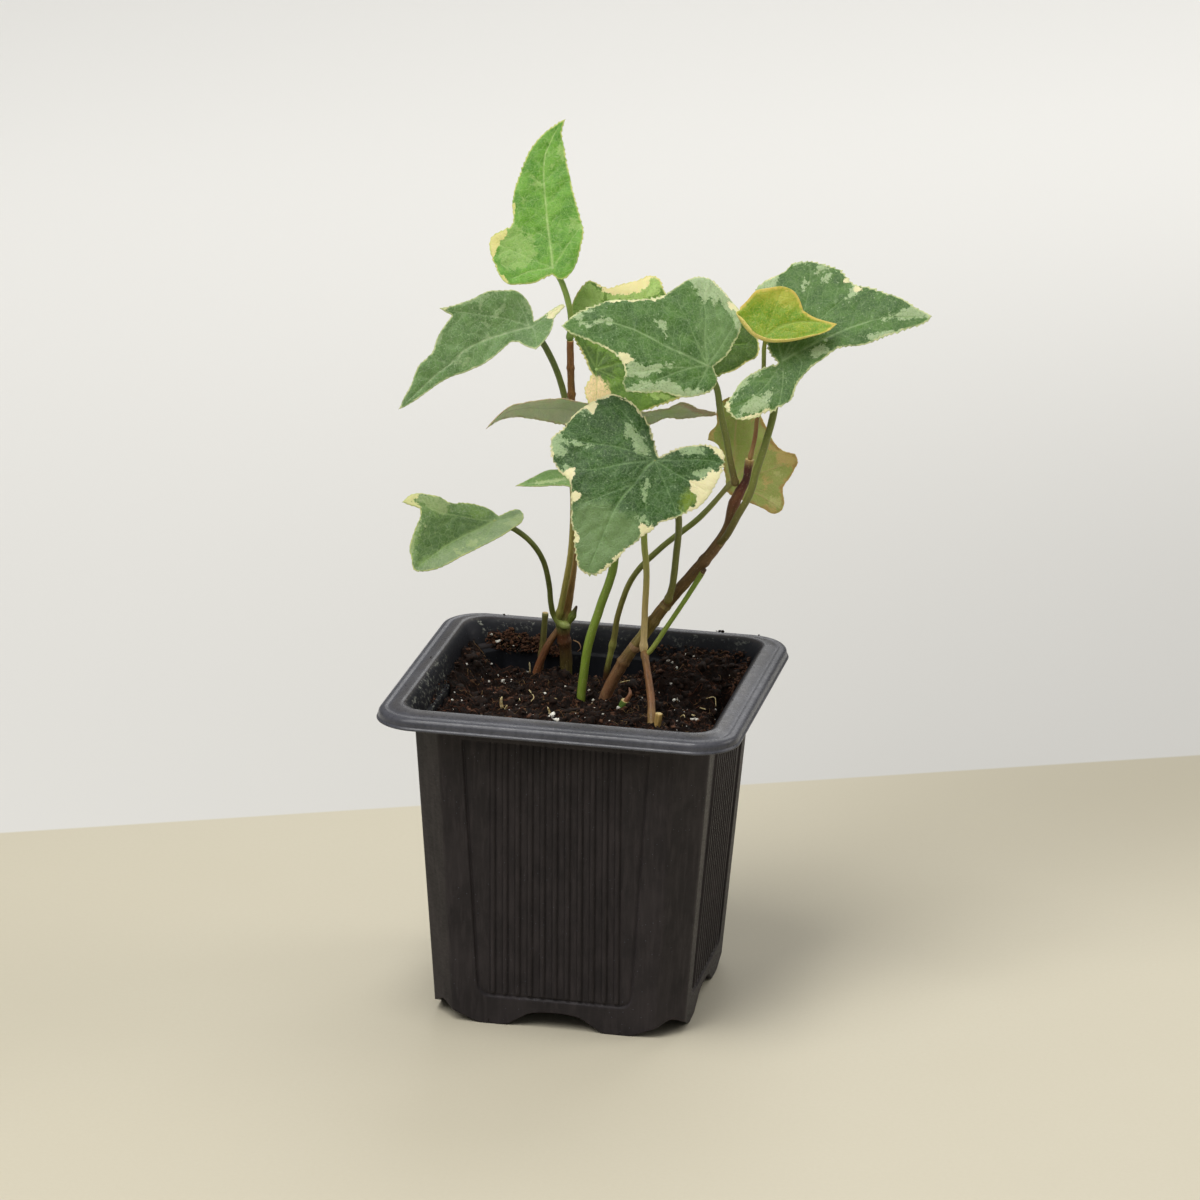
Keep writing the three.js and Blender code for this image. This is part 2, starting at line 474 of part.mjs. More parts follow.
place("pot", pot(), materials.plastic);
place("left_stem", plant(LEFT_STEM).add(plant(LEFT_STRAND)).add(stem(BUD)), materials.bark);
place("left_stub", plant(LEFT_STUB), materials.bark);
place("right_stem", plant(RIGHT_STEM), materials.bark);
place("front_stem", plant(FRONT_STEM).add(plant(FRONT_CHIP)), materials.bark);
place("cut_petiole", stem(CUT_PETIOLE), materials.green);
place("soil_stump", plant(STUMP), materials.green);
for (const [name, leaf] of Object.entries(LEAVES)) {
  const { body, hole } = leafBodies(leaf);
  if (hole) holes.push(hole);
  place(name, body, new THREE.MeshStandardMaterial({ color: leaf.color, roughness: 0.5 }));
}
place("soil", holes.reduce((s, h) => s.subtract(h), soilBlock()), materials.peat);

// The frame: middle of the whole plant's box on the ground.
const box = new THREE.Box3().setFromObject(group);
group.position.set(-(box.min.x + box.max.x) / 2, -(box.min.y + box.max.y) / 2, -box.min.z);

export default group;
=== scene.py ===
import math
import random

import bmesh
import bpy
import numpy as np
from mathutils import Matrix, Vector, noise
from mathutils.geometry import delaunay_2d_cdt


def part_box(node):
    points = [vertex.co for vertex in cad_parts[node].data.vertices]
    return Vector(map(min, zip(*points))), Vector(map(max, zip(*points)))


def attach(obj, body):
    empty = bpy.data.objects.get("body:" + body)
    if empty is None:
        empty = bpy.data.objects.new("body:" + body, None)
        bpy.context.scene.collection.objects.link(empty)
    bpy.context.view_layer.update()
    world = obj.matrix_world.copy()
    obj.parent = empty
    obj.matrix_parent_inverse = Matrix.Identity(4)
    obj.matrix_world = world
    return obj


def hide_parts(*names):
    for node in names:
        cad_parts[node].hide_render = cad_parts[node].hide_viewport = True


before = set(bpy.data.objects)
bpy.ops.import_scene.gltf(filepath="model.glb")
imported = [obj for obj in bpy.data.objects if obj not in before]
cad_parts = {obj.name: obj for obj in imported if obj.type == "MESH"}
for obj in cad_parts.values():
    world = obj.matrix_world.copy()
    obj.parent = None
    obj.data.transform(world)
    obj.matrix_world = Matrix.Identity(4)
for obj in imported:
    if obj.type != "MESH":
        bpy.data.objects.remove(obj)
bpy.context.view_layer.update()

# ---- the shared frame ---------------------------------------------------------------------------
# Tables are in millimetres round the middle of the pot's base: X right, Y back, Z up.
MM = 0.001
POT_LOW, POT_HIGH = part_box("pot")
MIDDLE = np.array([(POT_LOW.x + POT_HIGH.x) / 2, (POT_LOW.y + POT_HIGH.y) / 2, 0.0])


def metres(points):
    return np.asarray(points, float) * MM + MIDDLE


def tone(code):
    """An sRGB colour such as "6b8f3a" as linear red, green and blue, with alpha 1."""
    rgb = [int(code[i : i + 2], 16) / 255 for i in (0, 2, 4)]
    return tuple(c / 12.92 if c <= 0.04045 else ((c + 0.055) / 1.055) ** 2.4 for c in rgb) + (1.0,)


def unit(v):
    v = np.asarray(v, float)
    return v / np.linalg.norm(v)


def smooth(a, b, x):
    """Rises softly from 0 at a to 1 at b."""
    t = np.clip((np.asarray(x, float) - a) / (b - a), 0, 1)
    return t * t * (3 - 2 * t)


def wave(x, y=0.0, z=0.0):
    return noise.noise(Vector((x, y, z)))


def bell(x, width):
    return np.exp(-((x / width) ** 2))


def at_height(flat, z):
    """Plane points at one height, or each at its own."""
    return np.column_stack([flat, np.broadcast_to(z, (len(flat),))])


def rightward(steps):
    """Unit vectors to the right of steps in a plane."""
    return np.column_stack([steps[:, 1], -steps[:, 0]]) / np.linalg.norm(steps, axis=1)[:, None]


def run_along(points):
    """How far along a path each of its points is."""
    return np.concatenate([[0], np.cumsum(np.linalg.norm(np.diff(points, axis=0), axis=1))])


def around(sides):
    return np.arange(sides) / sides * 2 * math.pi


# ---- meshes -------------------------------------------------------------------------------------
def show(obj):
    bpy.context.scene.collection.objects.link(obj)
    return obj


class Build:
    """Points, faces and per-point attributes gathered from several parts of one piece."""

    def __init__(self):
        self.points, self.faces, self.mats, self.values = [], [], [], {}
        self.count = 0

    def add(self, points, faces, mat=0, **values):
        points = np.asarray(points, float)
        self.points.append(points)
        self.faces += [tuple(int(i) + self.count for i in f) for f in faces]
        self.mats += [mat] * len(faces)
        for key, value in values.items():
            value = np.asarray(value, float)
            if value.ndim == 1:
                value = np.tile(value, (len(points), 1))
            self.values.setdefault(key, []).append((self.count, value))
        self.count += len(points)

    def piece(self, name, materials, node, slot):
        """The gathered mesh as a piece that stands for a node."""
        mesh = bpy.data.meshes.new(name)
        mesh.from_pydata(metres(np.vstack(self.points)).tolist(), [], self.faces)
        mesh.polygons.foreach_set("material_index", self.mats)
        mesh.polygons.foreach_set("use_smooth", [True] * len(self.faces))
        for key, rows in self.values.items():
            size = rows[0][1].shape[1]
            data = np.zeros((self.count, size), np.float32)
            for start, value in rows:
                data[start : start + len(value)] = value
            kind, field = ("FLOAT_COLOR", "color") if size == 4 else ("FLOAT_VECTOR", "vector")
            mesh.attributes.new(key, kind, "POINT").data.foreach_set(field, data.ravel())
        for material in materials:
            mesh.materials.append(material)
        mesh.update()
        obj = show(bpy.data.objects.new(name, mesh))
        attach(obj, "root")
        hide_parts(node)


def loop_edges(first, n):
    """The edges of a closed loop of n points."""
    return [(first + i, first + (i + 1) % n) for i in range(n)]


def strip(first, second, n):
    """Quads between two closed rows of n points that start at first and second."""
    return [(first + i, first + (i + 1) % n, second + (i + 1) % n, second + i) for i in range(n)]


def tube_faces(rings, sides):
    """Quads along a row of rings, and a face over each end."""
    faces = []
    for i in range(rings - 1):
        faces += strip(i * sides, (i + 1) * sides, sides)
    return faces + [tuple(range(sides))[::-1], tuple(range((rings - 1) * sides, rings * sides))]


def ring(centre, turn, radius, side, over):
    return centre + np.outer(np.cos(turn) * radius, side) + np.outer(np.sin(turn) * radius, over)


# ---- shaders ------------------------------------------------------------------------------------
class Shader:
    def __init__(self, name, **settings):
        self.material = bpy.data.materials.new(name)
        self.material.use_nodes = True
        self.tree = self.material.node_tree
        self.bsdf = self.tree.nodes["Principled BSDF"]
        for key, value in settings.items():
            self.bsdf.inputs[key.replace("_", " ")].default_value = value

    def node(self, kind, inputs=(), **fields):
        made = self.tree.nodes.new("ShaderNode" + kind)
        for key, value in fields.items():
            setattr(made, key, value)
        for key, value in dict(inputs).items():
            if isinstance(value, bpy.types.NodeSocket):
                self.tree.links.new(value, made.inputs[key])
            else:
                made.inputs[key].default_value = value
        return made

    def math(self, kind, a, b):
        return self.node("Math", {0: a, 1: b}, operation=kind).outputs[0]

    def times(self, a, b):
        return self.math("MULTIPLY", a, b)

    def plus(self, a, b):
        return self.math("ADD", a, b)

    def less(self, a, b):
        return self.math("SUBTRACT", a, b)

    def attribute(self, name, output="Vector"):
        return self.node("Attribute", attribute_name=name).outputs[output]

    def split(self, vector):
        """The three numbers of a vector."""
        return list(self.node("SeparateXYZ", {0: vector}).outputs)

    def place(self):
        """Where the point is on the object, in millimetres."""
        at = self.node("TexCoord").outputs["Object"]
        return self.node("VectorMath", {0: at, 3: 1000.0}, operation="SCALE").outputs[0]

    def stretch(self, vector, by):
        return self.node("VectorMath", {0: vector, 1: by}, operation="MULTIPLY").outputs[0]

    def noise(self, vector, scale, detail=3.0, rough=0.55):
        inputs = {"Vector": vector, "Scale": scale, "Detail": detail, "Roughness": rough}
        return self.node("TexNoise", inputs).outputs["Fac"]

    def cells(self, vector, scale, feature="F1", output="Distance"):
        inputs = {"Vector": vector, "Scale": scale}
        return self.node("TexVoronoi", inputs, feature=feature).outputs[output]

    def ramp(self, value, low, high, first=0.0, last=1.0):
        """Goes softly from first to last while the value goes from low to high."""
        inputs = {"Value": value, "From Min": low, "From Max": high, "To Min": first, "To Max": last}
        return self.node("MapRange", inputs, interpolation_type="SMOOTHSTEP").outputs["Result"]

    def mix(self, share, a, b):
        """From colour a to colour b; each is a socket, four numbers or a code for tone()."""
        a, b = (tone(v) if isinstance(v, str) else v for v in (a, b))
        return self.node("Mix", {0: share, 6: a, 7: b}, data_type="RGBA").outputs[2]

    def bump(self, height, strength, distance):
        """Bumps of some millimetres' distance."""
        made = self.node("Bump", {"Height": height, "Strength": strength, "Distance": distance * MM})
        return made.outputs["Normal"]

    def finish(self, color, rough=None, normal=None):
        for socket, name in ((color, "Base Color"), (rough, "Roughness"), (normal, "Normal")):
            if socket is not None:
                self.tree.links.new(socket, self.bsdf.inputs[name])
        return self.material


# ---- camera, light and floor --------------------------------------------------------------------
FOCAL_PIXELS = 6000
FRAME_PIXELS = 1200
SENSOR = 36.0
CAMERA_AT = (274.2, -1380.2, 545.2)
AZIMUTH, ELEVATION, ROLL = (math.radians(a) for a in (11.115, 17.508, 1.230))
LIGHTS_AIM = Vector((0, 0, 0.09))
WARM, WARMER, WHITE = (1.0, 0.985, 0.96), (1.0, 0.97, 0.93), (1, 1, 1)
# Name, place and size in metres, power in watts and colour.
SOFTBOXES = [
    ("key", (-0.52, -0.92, 1.4), 1.0, 14.5, WARM),
    ("over", (-0.2, -0.32, 1.5), 0.45, 7.5, WARM),
    ("fill", (1.5, 0.6, 0.9), 0.9, 6.5, WARMER),
    ("back", (0.1, 1.5, 1.3), 1.3, 10.5, WHITE),
]
SKY_COLOR, SKY_LOW, SKY_HIGH = (1.0, 0.99, 0.97, 1), 0.16, 0.46
# The table top runs to this line, and the pale backdrop goes on behind it.
TABLE_EDGE = ((-172.9, 70.7), (132.9, 218.1))
FLOOR_HALF = 4.0


def camera():
    sa, ca, se, ce = math.sin(AZIMUTH), math.cos(AZIMUTH), math.sin(ELEVATION), math.cos(ELEVATION)
    back = Vector((sa * ce, -ca * ce, se))
    level = Vector((ca, sa, 0))
    over = back.cross(level)
    right = level * math.cos(ROLL) + over * math.sin(ROLL)
    up = over * math.cos(ROLL) - level * math.sin(ROLL)
    data = bpy.data.cameras.new("camera")
    data.sensor_width = SENSOR
    data.lens = FOCAL_PIXELS / FRAME_PIXELS * SENSOR
    data.clip_start, data.clip_end = 0.05, 30
    obj = show(bpy.data.objects.new("camera", data))
    turn = Matrix((right, up, back)).transposed().to_4x4()
    obj.matrix_world = Matrix.Translation(Vector(metres(CAMERA_AT))) @ turn
    bpy.context.scene.camera = obj


def light():
    world = bpy.data.worlds.new("studio")
    world.use_nodes = True
    nodes, links = world.node_tree.nodes, world.node_tree.links
    coord, parts = nodes.new("ShaderNodeTexCoord"), nodes.new("ShaderNodeSeparateXYZ")
    level = nodes.new("ShaderNodeMapRange")
    links.new(coord.outputs["Generated"], parts.inputs[0])
    links.new(parts.outputs["Z"], level.inputs["Value"])
    level.inputs["To Min"].default_value, level.inputs["To Max"].default_value = SKY_LOW, SKY_HIGH
    nodes["Background"].inputs["Color"].default_value = SKY_COLOR
    links.new(level.outputs["Result"], nodes["Background"].inputs["Strength"])
    bpy.context.scene.world = world
    for name, at, size, power, color in SOFTBOXES:
        data = bpy.data.lights.new(name, "AREA")
        data.shape, data.size, data.energy, data.color = "SQUARE", size, power, color
        obj = show(bpy.data.objects.new(name, data))
        obj.location = at
        obj.rotation_euler = (LIGHTS_AIM - Vector(at)).to_track_quat("-Z", "Y").to_euler()
    bpy.context.scene.view_settings.view_transform = "Standard"
    bpy.context.scene.view_settings.look = "None"


def floor():
    """A plain pale table top with the backdrop behind it, with painted light and shade: the table darker
    towards its left and at its back right, where a painted shadow lies, and the backdrop darker to the
    right near the table and brighter further back.
    """
    mesh = bpy.data.meshes.new("floor")
    corners = [(x * FLOOR_HALF, y * FLOOR_HALF, 0) for x, y in ((-1, -1), (1, -1), (1, 1), (-1, 1))]
    mesh.from_pydata(corners, [], [(0, 1, 2, 3)])
    s = Shader("floor", Roughness=0.7)
    at = s.place()
    (x0, y0), (x1, y1) = TABLE_EDGE
    away = unit((y0 - y1, x1 - x0))
    x, y, _ = s.split(at)
    past = s.plus(s.times(x, away[0]), s.times(y, away[1]))
    past = s.less(past, float(away[0] * (x0 + MIDDLE[0] / MM) + away[1] * y0))
    table = s.mix(s.noise(at, 0.02, 3), "c8c1ac", "ccc6b3")
    table = s.mix(s.noise(at, 0.9, 2), table, "c6bfaa")
    # painted shade: the table darker towards its left
    table = s.mix(s.ramp(x, -330, 0, 0.35, 0.0), table, "a9a28c")
    # painted shadow: the table darker at its back right, beside and behind the pot
    painted_shadow = s.times(s.ramp(past, -170, 0), s.ramp(x, -60, 120, 0.0, 0.62))
    table = s.mix(painted_shadow, table, "9d9682")
    # painted light on the backdrop: darker to the right near the table, brighter further back
    near = s.mix(s.ramp(x, -260, 200), "cfceca", "bcbbb7")
    backdrop = s.mix(s.ramp(past, 0, 800), near, "eeede9")
    mesh.materials.append(s.finish(s.mix(s.ramp(past, -0.8, 0.8), table, backdrop)))
    obj = show(bpy.data.objects.new("floor", mesh))


# ---- pot ----------------------------------------------------------------------------------------
POT_TOP = 82.5
RIM_HALF, RIM_CORNER = 44.8, 11.0
BODY = {"base": 31.4, "base_cut": 6.0, "top": 36.8, "top_cut": 7.8, "top_z": 76.4}
WALL = 1.6
EDGE_EASE = 0.8
FLOOR_UNDER, FLOOR_TOP = 7.5, 8.9
DRAIN_AT, DRAIN_RADIUS, DRAIN_SIDES = 16.0, 3.5, 40
PANEL = {"top": 23.2, "base": 19.3, "low": 7.4, "high": 75.0, "corner": 3.0, "depth": 0.5}
RIB_COUNT, RIB_PITCH, RIB_LOW = 11, 3.1, 8.2
FOOT_ARCH = [(0, 4.4), (3, 4.3), (6.3, 3.8), (9.6, 1.7), (12.2, 0)]
FOOT_CORNER = [(19, 0), (22.5, 1.5), (25.5, 2.8), (28.5, 4.7), (32, 6.4), (40, 7.2)]
# The lowest rows follow the feet and even out at this height; the others are level.
FOOT_ROWS, FOOT_EVEN = 36, 12.6
WALL_ROWS = [12.6, 14, 17, 21, 26, 32, 38, 44, 50, 56, 62, 68, 72, 74.4, 74.75, 75, 75.25, 75.6, 76.4]
WELL_ROWS = [75.3, 75.0, 72, 66, 50, 30, 12, 9.2, FLOOR_TOP]
# Height, half width and corner radius, from under the neck to the skirt of the rim.
UNDER_RIM = [
    (76.9, 37.2, 8.3), (77.5, 37.45, 8.2), (79.0, 38.3, 8.1), (79.7, 38.8, 8.1), (79.9, 39.4, 8.3),
    (79.9, 42.4, 9.2), (79.75, 43.15, 9.5), (79.4, 43.4, 9.6), (78.95, 43.42, 9.6), (78.8, 43.6, 9.8),
]
# The face of the rim and its crown: drop below the top and how far it draws in.
RIM_FACE = [
    (3.7, 0.2), (3.62, 0.05), (3.45, 0.0), (3.25, 0.05), (3.1, 0.2), (2.98, 0.36), (2.8, 0.42),
    (2.3, 0.43), (1.8, 0.52), (1.4, 0.72), (1.08, 1.05), (0.88, 1.45), (0.78, 1.85), (0.76, 2.1),
    (0.79, 2.4), (0.87, 2.7), (0.87, 2.9), (0.79, 3.15), (0.63, 3.5), (0.44, 3.95), (0.24, 4.5),
    (0.07, 5.2), (0.0, 5.75), (0.02, 6.0),
]
# Down into the mouth: height, half width and corner radius.
MOUTH = [
    (82.3, 38.45, 6.4), (82.0, 38.1, 6.5), (81.2, 37.35, 7.0), (79.0, 36.6, 7.4), (77.2, 36.1, 7.6),
    (76.0, 35.9, 7.7), (75.6, 35.8, 7.7),
]
LEAST_CORNER = 6.4
CORNER_STEPS = 18
# Columns of points beside a panel's border and beside the middle of a rib.
BORDER_COLUMNS = (-0.45, -0.3, -0.15, 0, 0.15, 0.3, 0.45, 0.8, 1.2, 1.7, 2.1, 2.5)
RIB_COLUMNS = (-0.95, -0.8, -0.68, -0.56, -0.44, 0.44, 0.56, 0.68, 0.8, 0.95)
RIBS_FROM_MIDDLE = (RIB_COUNT - 1) / 2


def body_plan(z, inset=0.0):
    """Half width and corner cut of the leaning body at a height, drawn in by inset."""
    ends = (("base", "top"), ("base_cut", "top_cut"))
    half, cut = (BODY[a] + (BODY[b] - BODY[a]) * z / BODY["top_z"] for a, b in ends)
    return half - inset, cut - inset * (2 - math.sqrt(2))


def panel_half(z):
    share = (z - PANEL["low"]) / (PANEL["high"] - PANEL["low"])
    return PANEL["base"] + (PANEL["top"] - PANEL["base"]) * share


def face_columns(z):
    """Where the columns of points stand across one face of the body at a height."""
    half, cut = body_plan(z)
    straight = half - cut - EDGE_EASE
    border = [panel_half(z) - d for d in BORDER_COLUMNS]
    outer = [straight + (border[0] - straight) * t for t in (0, 0.25, 0.5, 0.8)]
    right = outer + border
    middles = [(i - RIBS_FROM_MIDDLE) * RIB_PITCH for i in range(RIB_COUNT)]
    ribs = [middle + d for middle in middles for d in RIB_COLUMNS]
    return np.array([-x for x in right] + ribs + right[::-1])


def cut_corner(h, c):
    """A straight cut between two eased bends, at the front right."""
    e = EDGE_EASE
    d = np.array([1, 1]) / math.sqrt(2) * e
    a, b = np.array([h - c, -h]), np.array([h, -h + c])
    start, end = a - [e, 0], b + [0, e]
    points = []
    for i in range(1, CORNER_STEPS):
        t = 3 * i / CORNER_STEPS
        if t < 1:
            p = (1 - t) ** 2 * start + 2 * t * (1 - t) * a + t * t * (a + d)
        elif t <= 2:
            p = (a + d) + (b - a - 2 * d) * (t - 1)
        else:
            t -= 2
            p = (1 - t) ** 2 * (b - d) + 2 * t * (1 - t) * b + t * t * end
        points.append(p)
    return points


def round_corner(h, c):
    turns = [(i / CORNER_STEPS - 1) * math.pi / 2 for i in range(1, CORNER_STEPS)]
    return [np.array([h - c + c * math.cos(a), -h + c + c * math.sin(a)]) for a in turns]


def four_faces(flat, corner):
    """The whole ring from its front face and front right corner."""
    quarter = np.vstack([flat, corner])
    turns = ((1, 0, 0, 1), (0, -1, 1, 0), (-1, 0, 0, -1), (0, 1, -1, 0))
    return np.vstack([quarter @ np.array(t).reshape(2, 2).T for t in turns])


def across(x, half):
    return np.column_stack([x, np.full(len(x), -half)])


def wall_plan(z, inset=0.0):
    half, cut = body_plan(z, inset)
    outer_half, outer_cut = body_plan(z)
    x = face_columns(z) * (half - cut - EDGE_EASE) / (outer_half - outer_cut - EDGE_EASE)
    return four_faces(across(x, half), cut_corner(half, cut))


def soft_ring(half, corner):
    x = face_columns(BODY["top_z"])
    return four_faces(across(x * (half - corner) / x[-1], half), round_corner(half, corner))


PLANS = {inset: (wall_plan(0, inset), wall_plan(BODY["top_z"], inset)) for inset in (0.0, WALL)}
# A place across the face for the corners' points, too far out for a panel or rib.
CORNER_GAP = np.full(CORNER_STEPS - 1, 99.0)
FACE_X = [np.tile(np.concatenate([face_columns(z), CORNER_GAP]), 4) for z in (0, BODY["top_z"])]
FACE_OUT = four_faces(across(np.zeros(len(face_columns(0))), 1), np.zeros((CORNER_STEPS - 1, 2)))


def relief(x, z):
    """How far the wall is sunk by its panel, less where a rib stands."""
    side, low, r = panel_half(z) - np.abs(x), z - PANEL["low"], PANEL["corner"]
    inside = np.minimum(side, low)
    near = (side < r) & (low < r)
    inside = np.where(near, r - np.hypot(r - side, r - low), inside)
    inside = np.minimum(inside, PANEL["high"] - z)
    local = np.abs(x - np.round(x / RIB_PITCH) * RIB_PITCH)
    past_ribs = np.abs(x) > RIBS_FROM_MIDDLE * RIB_PITCH + 1.2
    height = np.where(past_ribs, 0, smooth(RIB_LOW - 0.3, RIB_LOW + 0.3, z))
    rib = height * (1 - smooth(0.46, 0.58, local))
    groove = height * smooth(0.45, 0.6, local) * smooth(0.86, 0.68, local)
    border = smooth(-0.16, 0.2, inside) * smooth(0.75, 0.35, inside)
    return PANEL["depth"] * smooth(-0.16, 0.16, inside) * (1 - rib + 0.28 * groove + 0.5 * border)


def wall(z, inset=0.0):
    """The body's ring of points at a height, or at a height of its own for each column."""
    z = np.broadcast_to(np.asarray(z, float), (len(FACE_OUT),))
    t = (z / BODY["top_z"])[:, None]
    low, high = PLANS[inset]
    flat = low + (high - low) * t
    if not inset:
        x = FACE_X[0] + (FACE_X[1] - FACE_X[0]) * t[:, 0]
        flat = flat - FACE_OUT * relief(x, z)[:, None]
    return np.column_stack([flat, z])


def foot_height(x, y):
    low, high = sorted((abs(x), abs(y)))
    if low > FOOT_CORNER[0][0]:
        return min(float(np.interp(v, *zip(*FOOT_CORNER))) for v in (low, high))
    return float(np.interp(low, *zip(*FOOT_ARCH)))


def soften(values, reach):
    """A running mean round the ring, so that the arches of the feet have no hard corners."""
    kernel = np.hanning(2 * reach + 3)[1:-1]
    padded = np.concatenate([values[-reach:], values, values[:reach]])
    return np.convolve(padded, kernel / kernel.sum(), "valid")


def wall_feet():
    """The height of the wall's lower edge at each column."""
    plan = PLANS[0.0][0]
    loop = np.vstack([plan, plan[:1]])
    spots = run_along(loop)
    even = np.linspace(0, spots[-1], 1200, endpoint=False)
    raw = [foot_height(*(np.interp(e, spots, loop[:, k]) for k in (0, 1))) for e in even]
    feet = np.interp(spots[:-1], even, soften(np.array(raw), 9))
    return np.maximum(feet - 0.02, 0)


def pot_rows(feet):
    """Rings up the wall, over the rim, down the well and under the floor, each with its zone: how far
    it is inside, and how far it is rim."""
    rows = [(wall(feet + (FOOT_EVEN - feet) * i / FOOT_ROWS), (0, 0)) for i in range(FOOT_ROWS)]
    rows += [(wall(z), (0, 0)) for z in WALL_ROWS]
    rows += [(at_height(soft_ring(half, corner), z), (0, 0.5)) for z, half, corner in UNDER_RIM]
    for drop, inset in RIM_FACE:
        flat = soft_ring(RIM_HALF - inset, max(LEAST_CORNER, RIM_CORNER - inset))
        rows.append((at_height(flat, POT_TOP - drop), (0, 1)))
    for z, half, corner in MOUTH:
        rows.append((at_height(soft_ring(half, corner), z), (0, 1) if z > 82 else (1, 0)))
    rows += [(wall(z, WALL), (1, 0)) for z in WELL_ROWS]
    rows[-1][0][:, :2] *= 0.99
    for share in (0.0, 0.5, 1.0):
        rows.append((wall(FLOOR_UNDER + (feet - FLOOR_UNDER) * share, WALL), (0, 0)))
    return rows


def floor_side(points, start, n, z, up):
    """One side of the floor, between the ring that starts at `start` and new rings round the four
    drain holes. Gives all the points with the new ones, and the faces."""
    middles = [(x * DRAIN_AT, y * DRAIN_AT) for x, y in ((1, 1), (-1, 1), (-1, -1), (1, -1))]
    turn = around(DRAIN_SIDES)
    circle = np.column_stack([DRAIN_RADIUS * np.cos(turn), DRAIN_RADIUS * np.sin(turn)])
    rounds = np.vstack([circle + middle for middle in middles])
    index = list(range(start, start + n)) + list(range(len(points), len(points) + len(rounds)))
    flat = np.vstack([points[start : start + n, :2], rounds])
    edges = loop_edges(0, n)
    for hole in range(4):
        edges += loop_edges(n + hole * DRAIN_SIDES, DRAIN_SIDES)
    where, _, tris, origin, _, _ = delaunay_2d_cdt([Vector(p) for p in flat], edges, [], 0, 1e-7)
    at = np.array([tuple(w) for w in where])
    centres = np.array([at[list(t)].mean(0) for t in tris])
    keep = inside_loop(centres, flat[:n])
    for middle in middles:
        keep &= np.hypot(*(centres - middle).T) > DRAIN_RADIUS * 0.98
    kept = [t if up else t[::-1] for t, wanted in zip(tris, keep) if wanted]
    faces = [tuple(index[origin[i][0]] for i in t) for t in kept]
    return np.vstack([points, at_height(rounds, z)]), faces


def pot():
    rows, zones = zip(*pot_rows(wall_feet()))
    n = len(rows[0])
    under_start = (len(rows) - 3) * n
    points = np.vstack(rows)
    faces = []
    for i in range(len(rows) - 1):
        if (i + 1) * n != under_start:
            faces += strip(i * n, (i + 1) * n, n)
    faces += strip((len(rows) - 1) * n, 0, n)
    starts = []
    for z, start, up in ((FLOOR_TOP, under_start - n, True), (FLOOR_UNDER, under_start, False)):
        starts.append(len(points))
        points, more = floor_side(points, start, n, z, up)
        faces += more
    for hole in range(4):
        top, under = (s + hole * DRAIN_SIDES for s in starts)
        faces += strip(under, top, DRAIN_SIDES)
    zone = np.zeros((len(points), 3))
    zone[: len(rows) * n, :2] = np.repeat(np.array(zones, float), n, axis=0)
    build = Build()
    build.add(points, faces, pot_zone=zone)
    build.mats = [int(all(zone[i, 1] > 0.9 for i in f)) for f in faces]
    body = pot_plastic("pot_body", "292628", "332f31", "3c3739", 0.12, 0.46)
    # The rim's lighter, bluer grey is partly dust and scuffs and partly a painted reflection of the light
    # from above.
    rim = pot_plastic("pot_rim", "414249", "4e4f56", "37383d", 0.36, 0.3)
    build.piece("pot_shell", [body, rim], "pot", "pot_plastic")


def pot_plastic(name, low, high, worn, level, rough):
    """Clouded plastic with upright streaks, dust, and lime on the inside of the back and left walls, and
    painted shade: the inside darkened to a bluish black and the rim's flat top pulled to a warm mid grey.
    """
    s = Shader(name, Roughness=rough, Specular_IOR_Level=level)
    at = s.place()
    inside = s.split(s.attribute("pot_zone"))[0]
    x, y, z = s.split(at)
    x = s.less(x, MIDDLE[0] / MM)
    color = s.mix(s.ramp(s.noise(at, 0.09, 5, 0.6), 0.35, 0.68), low, high)
    streaks = s.noise(s.stretch(at, (1, 1, 0.12)), 0.9, 4)
    color = s.mix(s.ramp(streaks, 0.42, 0.72, 0, 0.6), color, tone(worn))
    # painted shade: the inside of the pot darkened to a bluish black, for the shade inside it and a
    # bluish painted reflection
    color = s.mix(s.times(inside, 0.8), color, "1c1f25")
    # painted shade: the rim's flat top pulled towards a warm mid grey, darker than the rim's own grey
    painted_top_shade = s.times(s.ramp(z, 81.5, 82.3), s.ramp(s.noise(at, 0.12, 3), 0.35, 0.65, 0.35, 0.8))
    color = s.mix(painted_top_shade, color, s.mix(0.85, color, "403d3b"))
    dust = s.ramp(s.cells(at, 0.8), 0.09, 0.05)
    dusty = s.times(s.ramp(s.noise(at, 0.1, 2), 0.4, 0.56), 0.4)
    color = s.mix(s.times(dust, dusty), color, "7d8496")
    lime = s.ramp(s.noise(at, 0.85, 6, 0.72), 0.53, 0.64)
    left = s.times(s.ramp(x, -34, -35.2), s.ramp(y, 12, 2))
    back = s.times(s.ramp(y, 34.5, 36), s.ramp(s.noise(at, 0.16, 2), 0.44, 0.58))
    back = s.times(back, s.ramp(x, -5, -22, 0.35, 1.0))
    where = s.times(s.math("MAXIMUM", left, back), s.ramp(z, 72.5, 75.5))
    color = s.mix(s.times(s.times(s.times(lime, where), inside), 0.75), color, "9a9c92")
    fine = s.plus(s.times(s.noise(at, 5.0, 3, 0.6), 0.7), s.times(s.noise(at, 0.5, 3), 0.8))
    scuffs = s.noise(s.stretch(at, (1, 1, 3)), 0.7, 6, 0.7)
    scuffs = s.ramp(scuffs, 0.35, 0.7, rough - 0.06, rough + 0.12)
    return s.finish(color, scuffs, s.bump(fine, 0.36 * rough, 0.1))


# ---- plane geometry of the leaves ---------------------------------------------------------------
def inside_loop(points, loop):
    """Which points are inside a closed loop."""
    found = np.zeros(len(points), bool)
    x, y = points[:, 0], points[:, 1]
    for (x0, y0), (x1, y1) in zip(loop, np.roll(loop, -1, 0)):
        if y0 == y1:
            continue
        crosses = (y0 > y) != (y1 > y)
        found ^= crosses & (x < (x1 - x0) * (y - y0) / (y1 - y0) + x0)
    return found


